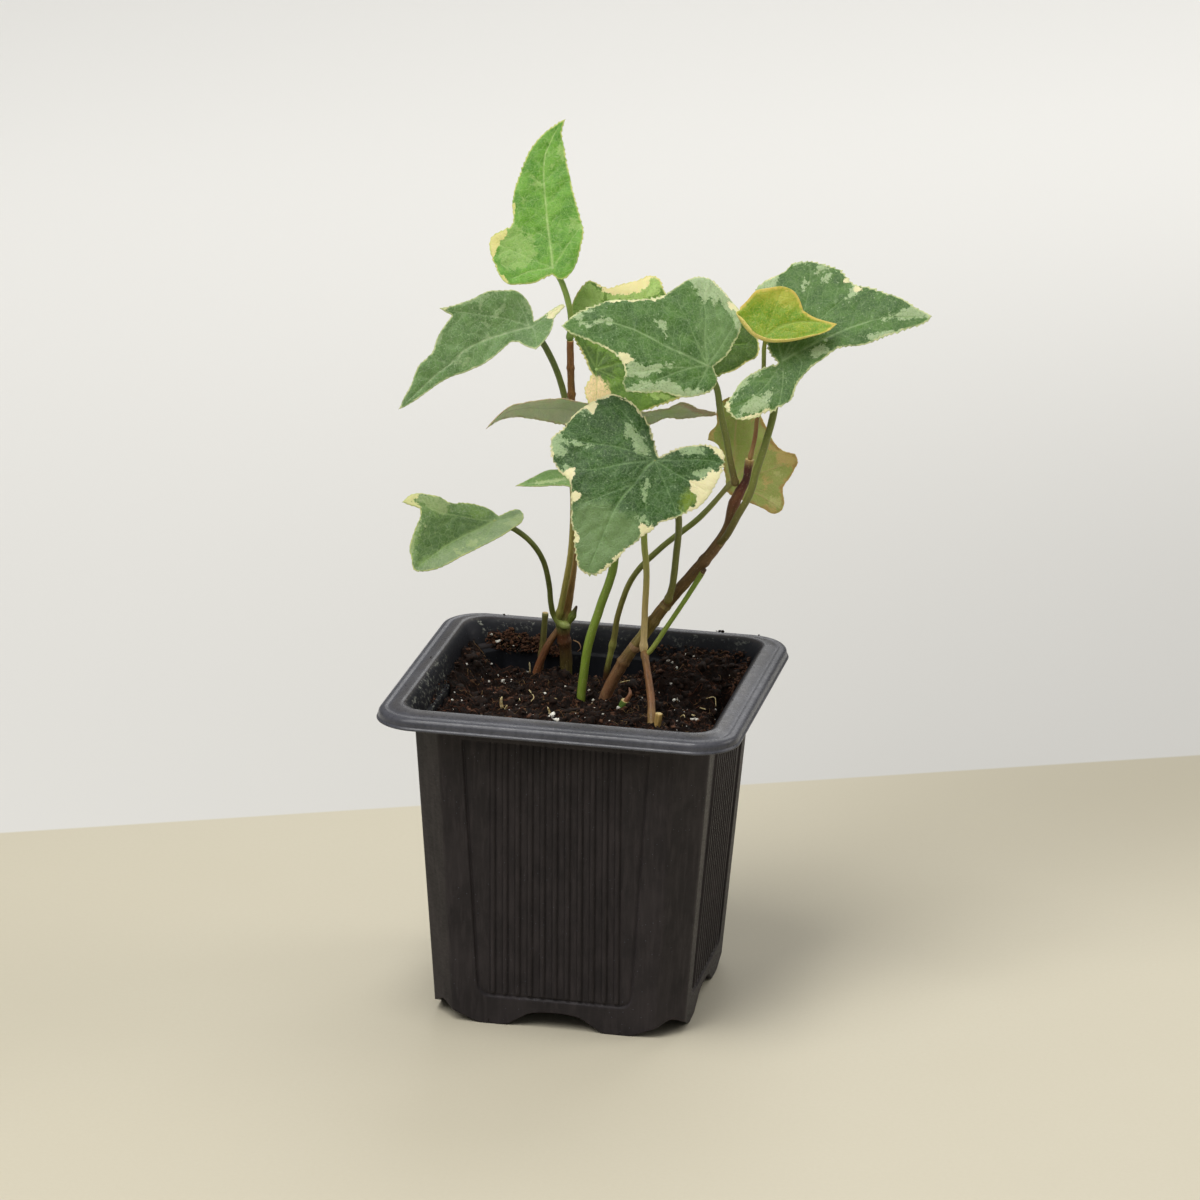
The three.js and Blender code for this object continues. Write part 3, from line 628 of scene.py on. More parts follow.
def to_path(points, path, closed=False):
    """Distance from each point to a path, and how far along the path its nearest place is."""
    path = np.asarray(path, float)
    ends = np.roll(path, -1, 0) if closed else path[1:]
    starts = path if closed else path[:-1]
    step = np.linalg.norm(ends - starts, axis=1)
    before = np.concatenate([[0], np.cumsum(step)[:-1]])
    best = np.full(len(points), 1e9)
    along = np.zeros(len(points))
    for a, b, length, ahead in zip(starts, ends, step, before):
        if length == 0:
            continue
        t = np.clip(((points - a) @ (b - a)) / length**2, 0, 1)
        d = np.hypot(*(points - a - t[:, None] * (b - a)).T)
        closer = d < best
        best[closer] = d[closer]
        along[closer] = ahead + t[closer] * length
    return best, along


CURVE_STEPS = 20


def curve(points, step, closed=False, sharp=()):
    """A centripetal Catmull-Rom curve through points, evenly resampled, with corners at `sharp`."""
    points = [np.asarray(p, float) for p in points]
    n = len(points)
    dense = []
    for i in range(n if closed else n - 1):
        b, c = points[i], points[(i + 1) % n]
        a = points[i - 1] if (closed or i > 0) and i not in sharp else 2 * b - c
        d = points[(i + 2) % n] if (closed or i + 2 < n) and (i + 1) % n not in sharp else 2 * c - b
        t0, t1, t2 = (max(np.linalg.norm(q - p) ** 0.5, 1e-4) for p, q in ((a, b), (b, c), (c, d)))
        m1 = ((b - a) / t0 - (c - a) / (t0 + t1) + (c - b) / t1) * t1
        m2 = ((c - b) / t1 - (d - b) / (t1 + t2) + (d - c) / t2) * t1
        for t in np.arange(0, 1, 1 / CURVE_STEPS):
            h = (2 * t**3 - 3 * t**2 + 1, t**3 - 2 * t**2 + t, -2 * t**3 + 3 * t**2, t**3 - t**2)
            dense.append(h[0] * b + h[1] * m1 + h[2] * c + h[3] * m2)
    dense.append(points[0] if closed else points[-1])
    dense = np.array(dense)
    run = run_along(dense)
    spots = np.linspace(0, run[-1], max(2, round(run[-1] / step)) + 1)
    for k in sharp:
        spots[np.argmin(np.abs(spots - run[CURVE_STEPS * k]))] = run[CURVE_STEPS * k]
    made = np.column_stack([np.interp(spots, run, dense[:, k]) for k in range(dense.shape[1])])
    return made[:-1] if closed else made


# ---- leaves -------------------------------------------------------------------------------------
# base, along and face place a leaf as in the source; the outline, veins and patches are in its own
# (across, along). `sharp` are the outline's corners. Patches are given as loops and frayed by noise.
# `bend` is droop, cup, fold and ripple, `tooth` is the depth of the edge's teeth, and `joined` is where
# the petiole ends when that isn't (0, 0).
BLADE_HALF = 0.17
# Sheen patches are painted sheen and light, lighter and greyer where a blade catches the light; dark
# patches are painted shade.
LEAVES = {
    "leaf_top": {
        "base": (-14.5, 20, 179.5), "along": (-0.07, 0.53, 0.84), "face": (0.05, -0.84, 0.54),
        "bend": (-3, 2, 0, 0.3), "length": 37.7, "tooth": 0.26, "look": "bright", "pale_share": 0.5,
        "outline": [(0, -2), (-4, -4), (-7.5, -4.6), (-11, -4.5), (-13, -2.5), (-15, 1.5), (-16, 5.5),
            (-15.5, 7.5), (-13, 9.3), (-11, 10.5), (-10.5, 12.5), (-10.9, 15.5), (-10.5, 19.5),
            (-9, 25.5), (-6.5, 31), (-4, 34), (-1.5, 36.4), (0.4, 37.5), (1.5, 37.7), (1, 36.2),
            (0.8, 34.5), (1, 32.6), (1.7, 30.2), (3, 24), (4.9, 17.5), (6.5, 12.5), (7.4, 9.5), (7, 6),
            (6, 1.5), (4.5, -1.5), (3, -3), (1.5, -3)],
        "sharp": [0, 18],
        "veins": [
            [(0, 0), (-0.8, 5), (-1.8, 10.5), (-2.6, 16.5), (-3.3, 21.8), (-3.5, 26), (-3.2, 29),
                (-2.3, 31.5), (-0.9, 34.7), (0.8, 37)],
            [(0, 0), (-4, 1.5), (-9, 3.6), (-14.5, 6)], [(0, 0), (2.4, 4), (5.4, 9), (6.6, 11)],
            [(0, 0), (-5, -1), (-10, -3.2)], [(-3.4, 21), (-5, 22), (-6.8, 22.8)],
        ],
        "cream": [
            [(-17, 1), (-14.8, 1.2), (-14, 4), (-13.4, 6.2), (-11.8, 7.6), (-11.6, 9.4), (-12.6, 11),
                (-17, 9)],
            [(-16.5, 1.5), (-13.5, -3.4), (-11, -5.2), (-10.5, -4), (-13, -1.8), (-15, 2)],
            [(-11.5, 9), (-10, 12.5), (-10.4, 16), (-11.8, 16), (-12, 11)],
        ],
        "pale": [
            [(-13.5, 8.5), (-10, 12), (-8, 9), (-5.4, 7.5), (-4, 3), (-6, 0), (-10, -1.5), (-13.4, 1)],
            [(4, 12.5), (6.4, 12.2), (7.2, 9.5), (4.6, 9), (3.2, 10.5)],
            [(0.2, 32.5), (1.5, 30.4), (2.2, 27), (0.8, 26.4), (-0.6, 29)],
            [(-6.6, 23.2), (-4, 22.4), (-4.2, 20.6), (-6, 21)], [(-8.4, 17.2), (-7.6, 17), (-8, 16)],
            [(-2.6, 24.5), (-1.4, 26.6), (-1, 26.2), (-2, 24)],
        ],
    },
    "leaf_left": {
        "base": (-18, 13, 166), "along": (-0.66, -0.64, -0.4), "face": (0.22, -0.67, 0.71),
        "bend": (3, 0, 0.45, 0.3), "length": 40, "tooth": 0.12, "look": "silver", "pale_share": 0.4,
        "outline": [(1, -1.5), (3.5, -2.9), (6.5, -3), (9, -1.9), (11, 1.5), (12.5, 4.8), (13.2, 10),
            (14.2, 14), (15.3, 17.5), (13.8, 16.6), (12.5, 15.6), (11.5, 18.5), (10, 22), (8, 25),
            (7, 30), (4.6, 34), (3, 37.4), (1.5, 40), (1, 37.5), (0.9, 33), (0.9, 28.5), (0.5, 24),
            (-0.6, 20), (-1.3, 15), (-1, 10), (-0.6, 6.6), (-1.6, 5.4), (-3.6, 5), (-6.2, 3.8),
            (-5.8, 1.2), (-4.3, -2.2), (-2.9, -4.3), (-1.4, -6), (-0.5, -8.4), (0.1, -10.6), (1, -10.4),
            (1.3, -7.6), (1, -4.5)],
        "sharp": [0, 8, 10, 17, 26, 28, 34],
        "veins": [
            [(0, 0), (1.6, 4), (2.9, 9), (3.8, 14), (4, 18), (3.4, 22), (3.1, 27), (2.6, 32),
                (1.9, 36.5), (1.5, 39.6)],
            [(0, 0), (3, 2.2), (6, 5.5), (9, 9.4), (12, 13.4), (15, 17.2)],
            [(0, 0), (-2, 0.6), (-5.6, 3)], [(0, 0), (0.2, -4), (0.5, -9.6)],
            [(0.4, 0.5), (4, -0.5), (8, -0.8)],
        ],
        "cream": [
            [(-1.4, -5), (0.2, -4.4), (0.9, -5.6), (1.8, -8), (1.4, -11.5), (0, -11.5), (-1, -8)],
            [(14.4, 18), (15.6, 17.8), (15, 15), (14.2, 15.8)],
        ],
        "pale": [
            [(3, -1.2), (6.5, -1.6), (6.6, -3.3), (3, -3.3)],
            [(3.1, 12.8), (3.9, 12.6), (4.1, 10.6), (3.2, 10.7)],
            [(5.8, 10.3), (7.6, 10.2), (7.7, 9.2), (6.2, 8.8)],
            [(9.6, 9.6), (11.8, 7.4), (11.2, 6.8), (9.2, 8.8)],
            [(6.8, 8), (8, 4.2), (8.6, 2.2), (7.4, 2.6), (6.6, 5)],
            [(2.2, 23.6), (3.4, 21), (3.6, 17.6), (2.7, 20)],
            [(10, 22.8), (12.2, 18.8), (11.2, 18.4), (9.2, 21.6), (7.6, 25.4), (8.4, 25.6)],
            [(11.4, 2.4), (12.6, 7), (13.4, 12), (12.6, 11.6), (11.8, 7), (10.8, 3)],
            [(1, 20.5), (2.4, 19.8), (1.8, 18), (0.8, 19)],
        ],
    },
    "leaf_centre": {
        "base": (28, 2, 162.5), "along": (-0.9, -0.34, 0.29), "face": (0.44, -0.65, 0.62),
        "bend": (3, -1.5, 0, 0.35), "length": 37, "tooth": 0.36, "look": "grey",
        "outline": [(0, -1.5), (4, -4.5), (9, -6.5), (14, -7.5), (17, -7), (20, -4.2), (23, -1.3),
            (24.8, 1.2), (25, 4), (23.5, 6.5), (20.5, 9.4), (17.6, 11.9), (16, 13.6), (15, 15.6),
            (13.8, 18.4), (12.8, 21.5), (11.5, 25.8), (9.9, 29), (7.9, 32), (4.6, 34.9), (1.5, 37),
            (-0.3, 34.3), (-1.3, 30), (-2, 26.5), (-3.1, 23.6), (-6, 20.7), (-8, 20.1), (-9.6, 20.5),
            (-12, 19), (-11.4, 14), (-10.3, 10.5), (-10, 5.5), (-8.6, 1), (-7, -1.5), (-3.6, -3),
            (-1.8, -2.9)],
        "sharp": [0, 20, 28],
        "veins": [
            [(0, 0), (1.4, 7), (2.3, 11), (3.5, 14.5), (4.8, 19.5), (5.2, 24.3), (4.7, 29), (3.5, 32.5),
                (1.7, 36.4)],
            [(0, 0), (-1.3, 3.1), (-3.9, 7.4), (-6.9, 11.6), (-10.4, 16.2), (-11.6, 18.6)],
            [(0, 0), (5, 3.4), (10.6, 6.6), (14.3, 9), (18, 10.4)],
            [(0, 0), (7, 1.6), (14, 2.2), (23, 3.6)], [(0, 0), (6, -2.6), (13, -5.2), (17, -6)],
            [(0, 0), (-4, 1), (-8.6, 3)], [(-2, 4.6), (-3.4, 10), (-5.8, 15.4), (-6.8, 19)],
        ],
        "cream": [
            [(12.2, 26.5), (10.7, 26), (11.2, 24.2), (12, 22), (12.3, 20), (13.1, 19), (13.1, 17.6),
                (14, 16.4), (13.4, 15), (14.9, 14.4), (15.4, 13), (17.4, 12.4), (19, 12), (16.5, 15.5),
                (14, 22)],
            [(-2.4, 28), (-1.6, 25.4), (-2.8, 23.2), (-5, 20.2), (-8.5, 19.8), (-9.4, 21.5), (-5, 22.4),
                (-3, 25)],
            [(-4.6, 22.4), (-2.8, 22.6), (-2.3, 20.4), (-3.6, 19), (-5.4, 19.8)],
            [(19.6, -5.4), (17.5, -7.6), (15.2, -7.4), (16.6, -5.8), (18, -3.8), (19.6, -3)],
            [(26, 4), (24.8, 3.6), (24.2, 1.4), (22.4, -1.2), (20, -3.6), (21, -4.6), (26, 0)],
        ],
        "pale": [
            [(16.4, 2.6), (18, 4.2), (20, 5), (22.4, 7.6), (26, 6), (26, 0), (20, -6), (15, -8),
                (11, -7.4), (12, -5.4), (15.4, -4.6), (17.4, -2.4), (19.2, -1.4), (17.4, 0.2),
                (18.6, 1.6)],
            [(-2.1, 8.4), (-3.2, 11.5), (-4.4, 15.5), (-4, 19.4), (-5.4, 20.2), (-8.2, 19.4),
                (-7.4, 15.8), (-5.6, 13), (-3.8, 9.8)],
            [(-12.4, 19.4), (-9.5, 17.8), (-8.2, 15), (-7.4, 12), (-6.2, 9.4), (-6.6, 7), (-8.2, 5.3),
                (-6.8, 2.2), (-7.4, -0.5), (-9.8, 0.4), (-11.4, 6), (-11, 12)],
            [(6, 12.6), (8, 14), (9.3, 13.6), (8.8, 12), (7, 11.5), (4.8, 10.8), (4.4, 11.6)],
            [(2.2, 32), (3.4, 32.4), (4.2, 29.8), (6.1, 27.2), (6.3, 24.6), (5.1, 25.2), (4.4, 28),
                (2.8, 30)],
            [(4.5, 34.6), (6.2, 33.2), (5.6, 31.2), (4.2, 33)],
            [(6.8, 31.4), (7.6, 31.8), (8, 29.6), (7, 29.4)],
        ],
        # painted sheen over the base and the lower right lobe
        "soft": [
            [(0, -1.5), (1.4, 1.5), (6, 2.6), (12, 4.2), (17, 3.2), (18.4, -1), (14, -6), (8, -6.6),
                (3, -4)],
        ],
    },
    "leaf_right": {
        "base": (46, 4, 164.5), "along": (0.94, 0.15, 0.31), "face": (-0.07, -0.8, 0.6),
        "bend": (4, -1.5, 0, 0.35), "length": 37.5, "tooth": 0.42, "look": "grey",
        "outline": [(0, -1.5), (-3, -3), (-5, -3.2), (-8.5, -4), (-13.5, -4.1), (-18.5, -3.6),
            (-21.5, -2.4), (-23, 0.5), (-24, 5.5), (-25.5, 7.6), (-25, 12), (-23, 16), (-20.5, 19),
            (-18, 20.1), (-15.5, 21.5), (-13.5, 25.5), (-10, 30), (-5.7, 34.4), (-2.5, 37.5), (-1, 36),
            (-0.1, 31.5), (0.9, 25), (1.3, 20.5), (0.7, 15), (0.9, 13), (2.2, 9.8), (3.4, 7), (5, 4.6),
            (7, 2.2), (10, 0.4), (11.5, -2.5), (12.5, -5), (12, -7), (12.5, -9.2), (11.6, -14),
            (10, -15.5), (7, -16.5), (4.5, -13.6), (1.5, -10), (0.3, -5)],
        "sharp": [0, 18, 31],
        "veins": [
            [(0, 0), (-1.4, 5), (-3, 12), (-4.2, 19), (-4.6, 24), (-4.2, 28), (-3.3, 32), (-2.6, 37)],
            [(0, 0), (-6, 4.4), (-12, 8), (-18, 10.4), (-24, 12)],
            [(0, 0), (-6, 8), (-10, 14), (-13.4, 20.4)], [(0, 0), (-9, 0), (-21, 1.4)],
            [(0, 0), (2.6, -2.4), (5.8, -6.4), (8, -11), (8.4, -15.4)], [(0, 0), (5, -1), (11.6, -3.6)],
            [(-1, 3), (1.6, 4.4), (5, 3)],
        ],
        "cream": [
            [(11, -6), (13.4, -6), (13.6, -10), (13, -14), (11.4, -14.4), (11, -11.5), (11.6, -9)],
            [(6, -14.9), (8.4, -15), (9, -17), (5.6, -17)],
            [(-18.4, 21), (-16.4, 21), (-16.6, 19), (-17.6, 18.6)],
            [(-15, 22), (-13.4, 23), (-13, 21.2), (-14.4, 20.6)],
            [(-25.8, 3), (-22.8, 2.6), (-22.4, 0.6), (-25, 0)],
        ],
        "pale": [
            [(-25, 13), (-23, 14), (-20.8, 12.4), (-21.4, 15.4), (-22.6, 15.2), (-24.4, 15)],
            [(-20.4, 17.4), (-19, 15.6), (-17.3, 13.4), (-18.4, 13.2), (-20, 15)],
            [(-15.6, 22.4), (-13.4, 22.6), (-12, 20), (-11, 18), (-12.2, 18.4), (-13.6, 20), (-15, 20.4)],
            [(-20.2, 9.9), (-18.6, 8.5), (-17.4, 8.9), (-19, 10.1)],
            [(-26, 3.4), (-22.5, 3.6), (-20.3, 2), (-20, -2), (-24, -3)],
            [(-6.4, 36), (-2.8, 37.6), (-2.5, 33), (-3.4, 29.5), (-4.4, 25.4), (-5.3, 30)],
            [(6.3, -4), (8.6, -4.9), (10.8, -6.2), (11.4, -9), (10.8, -12), (11.6, -14.6), (9, -12.8),
                (7.3, -9.4), (7.6, -7)],
            [(1, -11), (0.2, -7), (0.6, -4.8), (1.6, -6), (3, -9.5), (5.5, -13), (7, -15), (6, -17)],
            [(-2, 11), (0.4, 11), (1.4, 8), (0, 7), (-1.4, 9)],
            [(-25.8, 12), (-24.4, 11), (-24.8, 8), (-26, 8)],
            [(-1.2, 27), (-0.2, 31), (0.8, 27), (0.4, 22), (-0.6, 22)],
        ],
    },
    "leaf_lower_left": {
        "base": (-26.5, 12, 116), "along": (-0.6, -0.75, -0.28), "face": (0.22, -0.49, 0.84),
        "bend": (2, 0, 0.35, 0.25), "length": 25.5, "tooth": 0.16, "look": "olive", "pale_share": 0.65,
        "outline": [(0.5, -2), (2.5, -1.5), (5, 0), (8, 3.6), (9.5, 6.5), (12, 8), (14, 10),
            (15.5, 12.5), (16, 15.5), (15.5, 17.5), (13.6, 16), (12, 14.6), (10.5, 15.6), (8.5, 19),
            (5.5, 23), (3.5, 24.1), (0.5, 25.5), (-1.2, 24.6), (-2.6, 22.6), (-3.6, 19.6), (-4.4, 15.5),
            (-5, 11), (-5.5, 6), (-5.5, 1), (-5, -3), (-4.5, -5.5), (-2.5, -7.5), (-0.5, -7.5),
            (0.4, -4.5)],
        "sharp": [0, 9, 11],
        "veins": [
            [(0, 0), (0.2, 5), (0.8, 10), (1, 15), (0.7, 20), (0.5, 24.6)],
            [(0, 0), (4, 5.4), (8.4, 10), (14.6, 15.6)], [(0, 0), (-1.2, -3), (-2, -6.6)],
            [(0, 0), (-2.6, 5), (-4.2, 11)],
        ],
        "cream": [
            [(12, 16.8), (10.8, 15), (12.4, 13.8), (14.4, 15), (14.9, 12), (13.6, 9.6), (12, 8.2),
                (15, 8), (17, 14), (16.5, 19), (14.2, 18)],
            [(8.2, 20.4), (9.6, 17.6), (10.8, 16.2), (11, 17), (9.4, 20.4)],
        ],
        "pale": [
            [(8.4, 19.8), (9.8, 17.5), (10.8, 15.4), (9, 15.6), (7.4, 18)],
            [(-4.4, 15), (-2.4, 14.7), (-1, 14), (-2.6, 13.3), (-4.4, 13.8)],
            [(4.8, 24), (8.4, 20.5), (7.2, 20), (4.3, 22.6)],
            [(8, 10), (11, 13), (15, 14), (14.4, 10), (11, 7.2), (9, 6.4)],
            [(-5.4, -2), (-3, -1), (-2, -4), (-3, -8), (-5, -6)], [(-4, 5), (-2, 9), (-2.6, 12), (-4, 9)],
        ],
        # painted light on the left half as a sheen patch, painted shade on the right half as a dark patch
        "soft": [[(-7, -9), (0.6, -8), (0.2, 0), (0.6, 10), (0.4, 20), (-1, 25.6), (-6, 18), (-7, 6)]],
        "dark": [[(0.4, 2), (3, 3.4), (7, 8), (8.6, 12), (7.4, 17.6), (4, 22.3), (1.4, 23.6), (1, 14)]],
    },
    "leaf_front": {
        "base": (17, -6, 140), "along": (-0.36, -0.49, -0.8), "face": (0.12, -0.87, 0.48),
        "bend": (4, -1.5, 0, 0.35), "length": 32, "tooth": 0.42, "look": "deep",
        "outline": [(-0.5, -1.5), (0.5, -2.5), (3, -5.5), (6, -8), (10, -10), (13.5, -10.8), (17, -10.2),
            (19.5, -8), (21.3, -5.5), (23.5, -0.5), (24.5, 3), (25.4, 6), (24.9, 8), (22.9, 10.8),
            (19.6, 12.8), (16.6, 13.8), (14, 17.5), (12, 21.6), (9.4, 25), (8, 27.5), (5.4, 30.8),
            (3, 32), (1, 32), (-1, 30.4), (-3, 26), (-4, 22.5), (-5.5, 19.5), (-6, 18), (-7.5, 15.5),
            (-8.2, 13.5), (-11, 10.5), (-12.7, 8.5), (-15, 5), (-16, 0), (-16, -4.5), (-15.5, -7.5),
            (-14, -9.5), (-12, -10), (-9, -9.5), (-6, -7.5), (-3, -5), (-1.5, -3)],
        "sharp": [0, 41],
        "veins": [
            [(0, 0), (1.1, 2.8), (1.7, 7.2), (2.9, 12), (3, 18), (2.7, 24), (2.2, 31)],
            [(0, 0), (6, 4), (12, 8.4), (17.6, 11), (22, 11)], [(0, 0), (8, 0.8), (16, 3), (24.4, 5.6)],
            [(0, 0), (5, -3), (11, -6.6), (17, -8.4)], [(0, 0), (-6, 5), (-10.6, 9), (-12, 10)],
            [(0, 0), (-7, 0.6), (-15, 1)], [(0, 0), (-5, -2.6), (-10.6, -5.6), (-14.6, -7)],
            [(1.4, 6), (-2, 9), (-5, 14), (-6.4, 16.6)], [(1.5, 7), (6, 12), (11, 17.6)],
        ],
        "cream": [
            [(-18, 6.5), (-11.4, 12), (-11.6, 9.8), (-13, 8.6), (-12.6, 6.6), (-13.9, 4.8), (-13.2, 2.9),
                (-11, 2.3), (-10.1, 0.7), (-11.5, -0.9), (-13.3, -1.4), (-12.5, -3.3), (-14.5, -4.9),
                (-15, -6.4), (-17, -5.4), (-18, 0)],
            [(-16.4, -7), (-14.4, -7.6), (-11, -8.7), (-9, -9), (-8.6, -10.8), (-12.5, -11.4),
                (-16, -10.4)],
            [(-8.8, 15.8), (-6.6, 18), (-4, 16.2), (-4.3, 14.4), (-6, 15), (-7.3, 14)],
            [(11.7, 17.8), (14.4, 17.4), (13.9, 15.2), (12, 15.6)],
            [(16, 14), (18.6, 13.2), (18.2, 11.7), (16.6, 10.4), (15.8, 11.6)],
            [(7.3, 27), (9.8, 25.4), (9.5, 23.6), (7.9, 24.4)],
            [(18.8, -3.8), (22, -4), (22, -6.6), (19.2, -6.6)],
            [(22, 12), (26, 9), (24.4, 8.2), (22.2, 10)],
            [(2.4, -5.4), (6, -9), (13, -12), (17, -11), (20, -8), (18.8, -8.2), (16, -9.9), (11.5, -10),
                (5.6, -7.2)],
            [(-4.2, 20), (-1.6, 30.6), (-0.2, 30), (-2.6, 24.4), (-3.6, 21)],
        ],
        "pale": [
            [(-3.3, 10.3), (-1.8, 9.7), (-0.6, 7), (0, 4.6), (-1, 5.3), (-2.1, 7.4)],
            [(1.4, -0.3), (5, 0.3), (6.8, -1.5), (9.2, -2.4), (10.8, -5.2), (9.4, -5.8), (7.6, -4.2),
                (5.4, -3.7), (3.2, -2.2)],
            [(20, 8.6), (22, 10.4), (25, 8.6), (26, 5.6), (23.6, 4), (22.4, 6), (20.6, 6.6)],
            [(-10.4, -6.6), (-7.4, -5.2), (-4.2, -4.4), (-3, -5.3), (-6.4, -7.7), (-9.4, -8.6)],
            [(-6.8, 14.6), (-4, 13.2), (-2.8, 14.4), (-5, 15.6)],
            [(-13.8, 9.8), (-12.2, 7.4), (-10.6, 8.8), (-11.6, 11)],
            [(-13.5, -1.9), (-11, -0.6), (-9.4, -1.8), (-11.6, -3.5), (-13.6, -4.8)],
            [(15.4, 3.4), (20, 4.3), (22.6, 5.2), (18, 5.2)],
            [(17.2, 12.2), (18.6, 12.6), (19.4, 11), (18, 10.2)],
            [(19.2, -3.2), (21.6, -2.6), (22.4, -4.4), (20, -4.8)],
        ],
        # painted sheen over the tip half
        "soft": [
            [(-6.4, 16), (-3, 14.6), (2, 15.6), (6, 14.4), (11, 16.6), (12.6, 20), (9, 27), (5, 32.5),
                (1, 33.5), (-2.4, 28), (-5.4, 20)],
        ],
        "lime": [[(-13.6, 3), (-13.2, 8.2), (-11.6, 8.6), (-10, 6.4), (-10.2, 2.8), (-11.8, 1.8)]],
    },
    "leaf_back": {
        "base": (-3.5, 22, 154), "along": (0.92, 0.36, 0.12), "face": (0.23, -0.77, 0.59),
        "bend": (3, -1, 0, 0.3), "length": 42, "tooth": 0.34, "look": "back",
        "outline": [(1, -1.5), (-4.5, -3), (-9, -4), (-15, -4), (-18.5, -2.5), (-22, 0), (-24, 2.5),
            (-23.2, 4.5), (-21.6, 7), (-21.9, 10.5), (-22.4, 14.5), (-23.5, 18), (-22, 20.5),
            (-18.5, 21), (-15, 22), (-12, 26), (-10.5, 32), (-8, 38.5), (-4, 41.5), (-1, 42), (2, 40.5),
            (3, 38), (5, 34), (6, 30.5), (8.5, 24.5), (10.5, 19), (11.5, 15.5), (12.5, 11.5), (12.5, 6),
            (11.5, 0), (9.5, -3), (7, -4), (4.5, -4), (2.5, -2.5)],
        "sharp": [0],
        "veins": [
            [(0, 0), (-1, 8), (-2, 18), (-2.4, 28), (-2, 36), (-1.6, 41)],
            [(0, 0), (-8, 2), (-16, 3), (-23, 3.4)], [(0, 0), (-7, 6), (-14, 13), (-22, 19)],
            [(0, 0), (4, 6), (8, 12), (11, 16)], [(0, 0), (-6, -1.6), (-13, -3)],
            [(0, 0), (4, -0.6), (9, -1.6)],
        ],
        "cream": [
            [(-24.6, 19.5), (-22.6, 18.4), (-21.6, 15), (-20.6, 12), (-19.8, 9), (-20.6, 6.4),
                (-22.2, 4.2), (-25, 5), (-24.6, 14)],
            [(-23, 5), (-20.6, 5.4), (-18.6, 8), (-18.6, 14), (-20, 17), (-23, 18)],
            [(9, -3.8), (12, 0), (13.2, 6), (12, 6), (10.6, 0)],
        ],
        "pale": [
            # this first pale patch is painted light on the left lobe
            [(-24, -2), (-15, -6), (-12, -3.4), (-13, 2), (-16.5, 5), (-20, 5.4), (-23, 3)],
            [(-22.8, 18.6), (-20, 20.4), (-17.2, 19.2), (-16.8, 12), (-17.4, 6), (-19.8, 6.2),
                (-20.4, 9.6), (-21.2, 14)],
            [(8, 10), (10.4, 13), (10, 17), (8.4, 15)],
        ],
        "tan": [[(1.6, -0.9), (4, 1.6), (7, 2.2), (9.6, -0.5), (10.4, -3.8), (6.5, -5.4), (3.4, -4)]],
        # painted light: a sheen patch on the left lobe
        "soft": [[(-23, -1), (-15, -5), (-12.5, -3), (-13, 3), (-16, 8), (-20, 8)]],
        # painted shade: dark patches at the base and at the tip
        "dark": [
            [(-6, -4), (-6, 0), (-3, 4), (0, 5), (3, 4), (2, 0), (0, -3)],
            [(-8, 42), (-4, 30), (3, 26), (8, 28), (6, 43)],
        ],
    },
    "leaf_young": {
        "base": (42, 2, 171), "along": (0.96, 0.21, 0.19), "face": (0.09, -0.87, 0.49),
        "bend": (0, 7, 0, 0), "length": 17.5, "tooth": 0.03, "look": "young",
        "roll": {
            "line": [(-7.2, -4.6), (-5.2, -4.2), (-2.9, -3.2), (-1, -1.9), (0.6, 0.4), (1.3, 3),
                (1.6, 6.5), (1.3, 11), (0.9, 14), (-0.1, 18.2)],
            "radius": (1.5, 0.8),
        },
        "outline": [(3.4, -1.6), (1.4, -4.6), (-1.4, -6.9), (-4.6, -7.9), (-6.6, -6.6), (-9, -3.2),
            (-11, -0.4), (-11.1, 2.5), (-11, 6), (-9.6, 8.4), (-7.5, 9.5), (-4.5, 10), (-2.5, 12.4),
            (0, 17.5), (2, 14.6), (3.4, 11), (4.2, 6.5), (4.2, 2)],
        "sharp": [11, 13],
        "veins": [
            [(0, 0), (-1.6, 4), (-2, 8.6), (-1.2, 12.6), (-0.2, 16.6)], [(0, 0), (-4, 2), (-10, 5.6)],
            [(0, 0), (-4, -1.6), (-8, -2)],
        ],
        "cream": [], "pale": [[(-9.6, 6.8), (-7, 8), (-6.4, 5), (-8.6, 3)]],
        # the lighter patch at the top is the young leaf's yellow flush with painted light on it
        "soft": [[(-12, -1), (-9.2, -2), (-8, 2), (-7.8, 5), (-6, 8.6), (-8, 10.4), (-12, 7)]],
    },
    "leaf_edge_on": {
        "base": (12.8, 12.5, 147.6), "along": (-0.96, -0.27, 0.06), "face": (0.1, 0.6, 0.76),
        "bend": (8, 0, 0, 0.7), "hang": (8, -0.47), "joined": (2.6, 3.0), "length": 41, "tooth": 0.2,
        "look": "dull",
        "outline": [(0.8, -15.8), (1.9, -12.2), (2.9, -7.5), (2.8, -3.6), (4.6, -0.9), (7, 3), (8.3, 8),
            (8, 13), (7.6, 18), (6.6, 24), (5, 31), (2.4, 37), (0, 41), (-1.6, 36), (-3.2, 30), (-4, 24),
            (-2.6, 18), (0, 12), (1.2, 7), (1, 2.6), (0, -1), (-1.4, -3.4), (-3.6, -4.4), (-6, -6.7),
            (-5, -8.8), (-2.9, -11.4), (-1.9, -15.2)],
        "sharp": [0, 12, 26],
        "veins": [
            [(2.2, 0), (2.4, 12), (1.4, 26), (0.4, 40)], [(2.2, 0), (5.4, 10), (5.8, 20), (4.6, 28)],
            [(2.2, 4), (0.6, 16), (-1.8, 26), (-1.4, 34)], [(2.2, 0), (1, -6), (-0.4, -14.6)],
            [(2.2, 0), (-1.4, -4), (-4.4, -7)], [(2.2, 0), (6.4, 9), (6.4, 18)],
        ],
        "cream": [], "pale": [],
        "lime": [[(-1, -3), (-4, -4.6), (-4.6, -6.6), (-2.4, -8.4), (0.6, -8), (2, -4.4), (1, -2)]],
        "tan": [
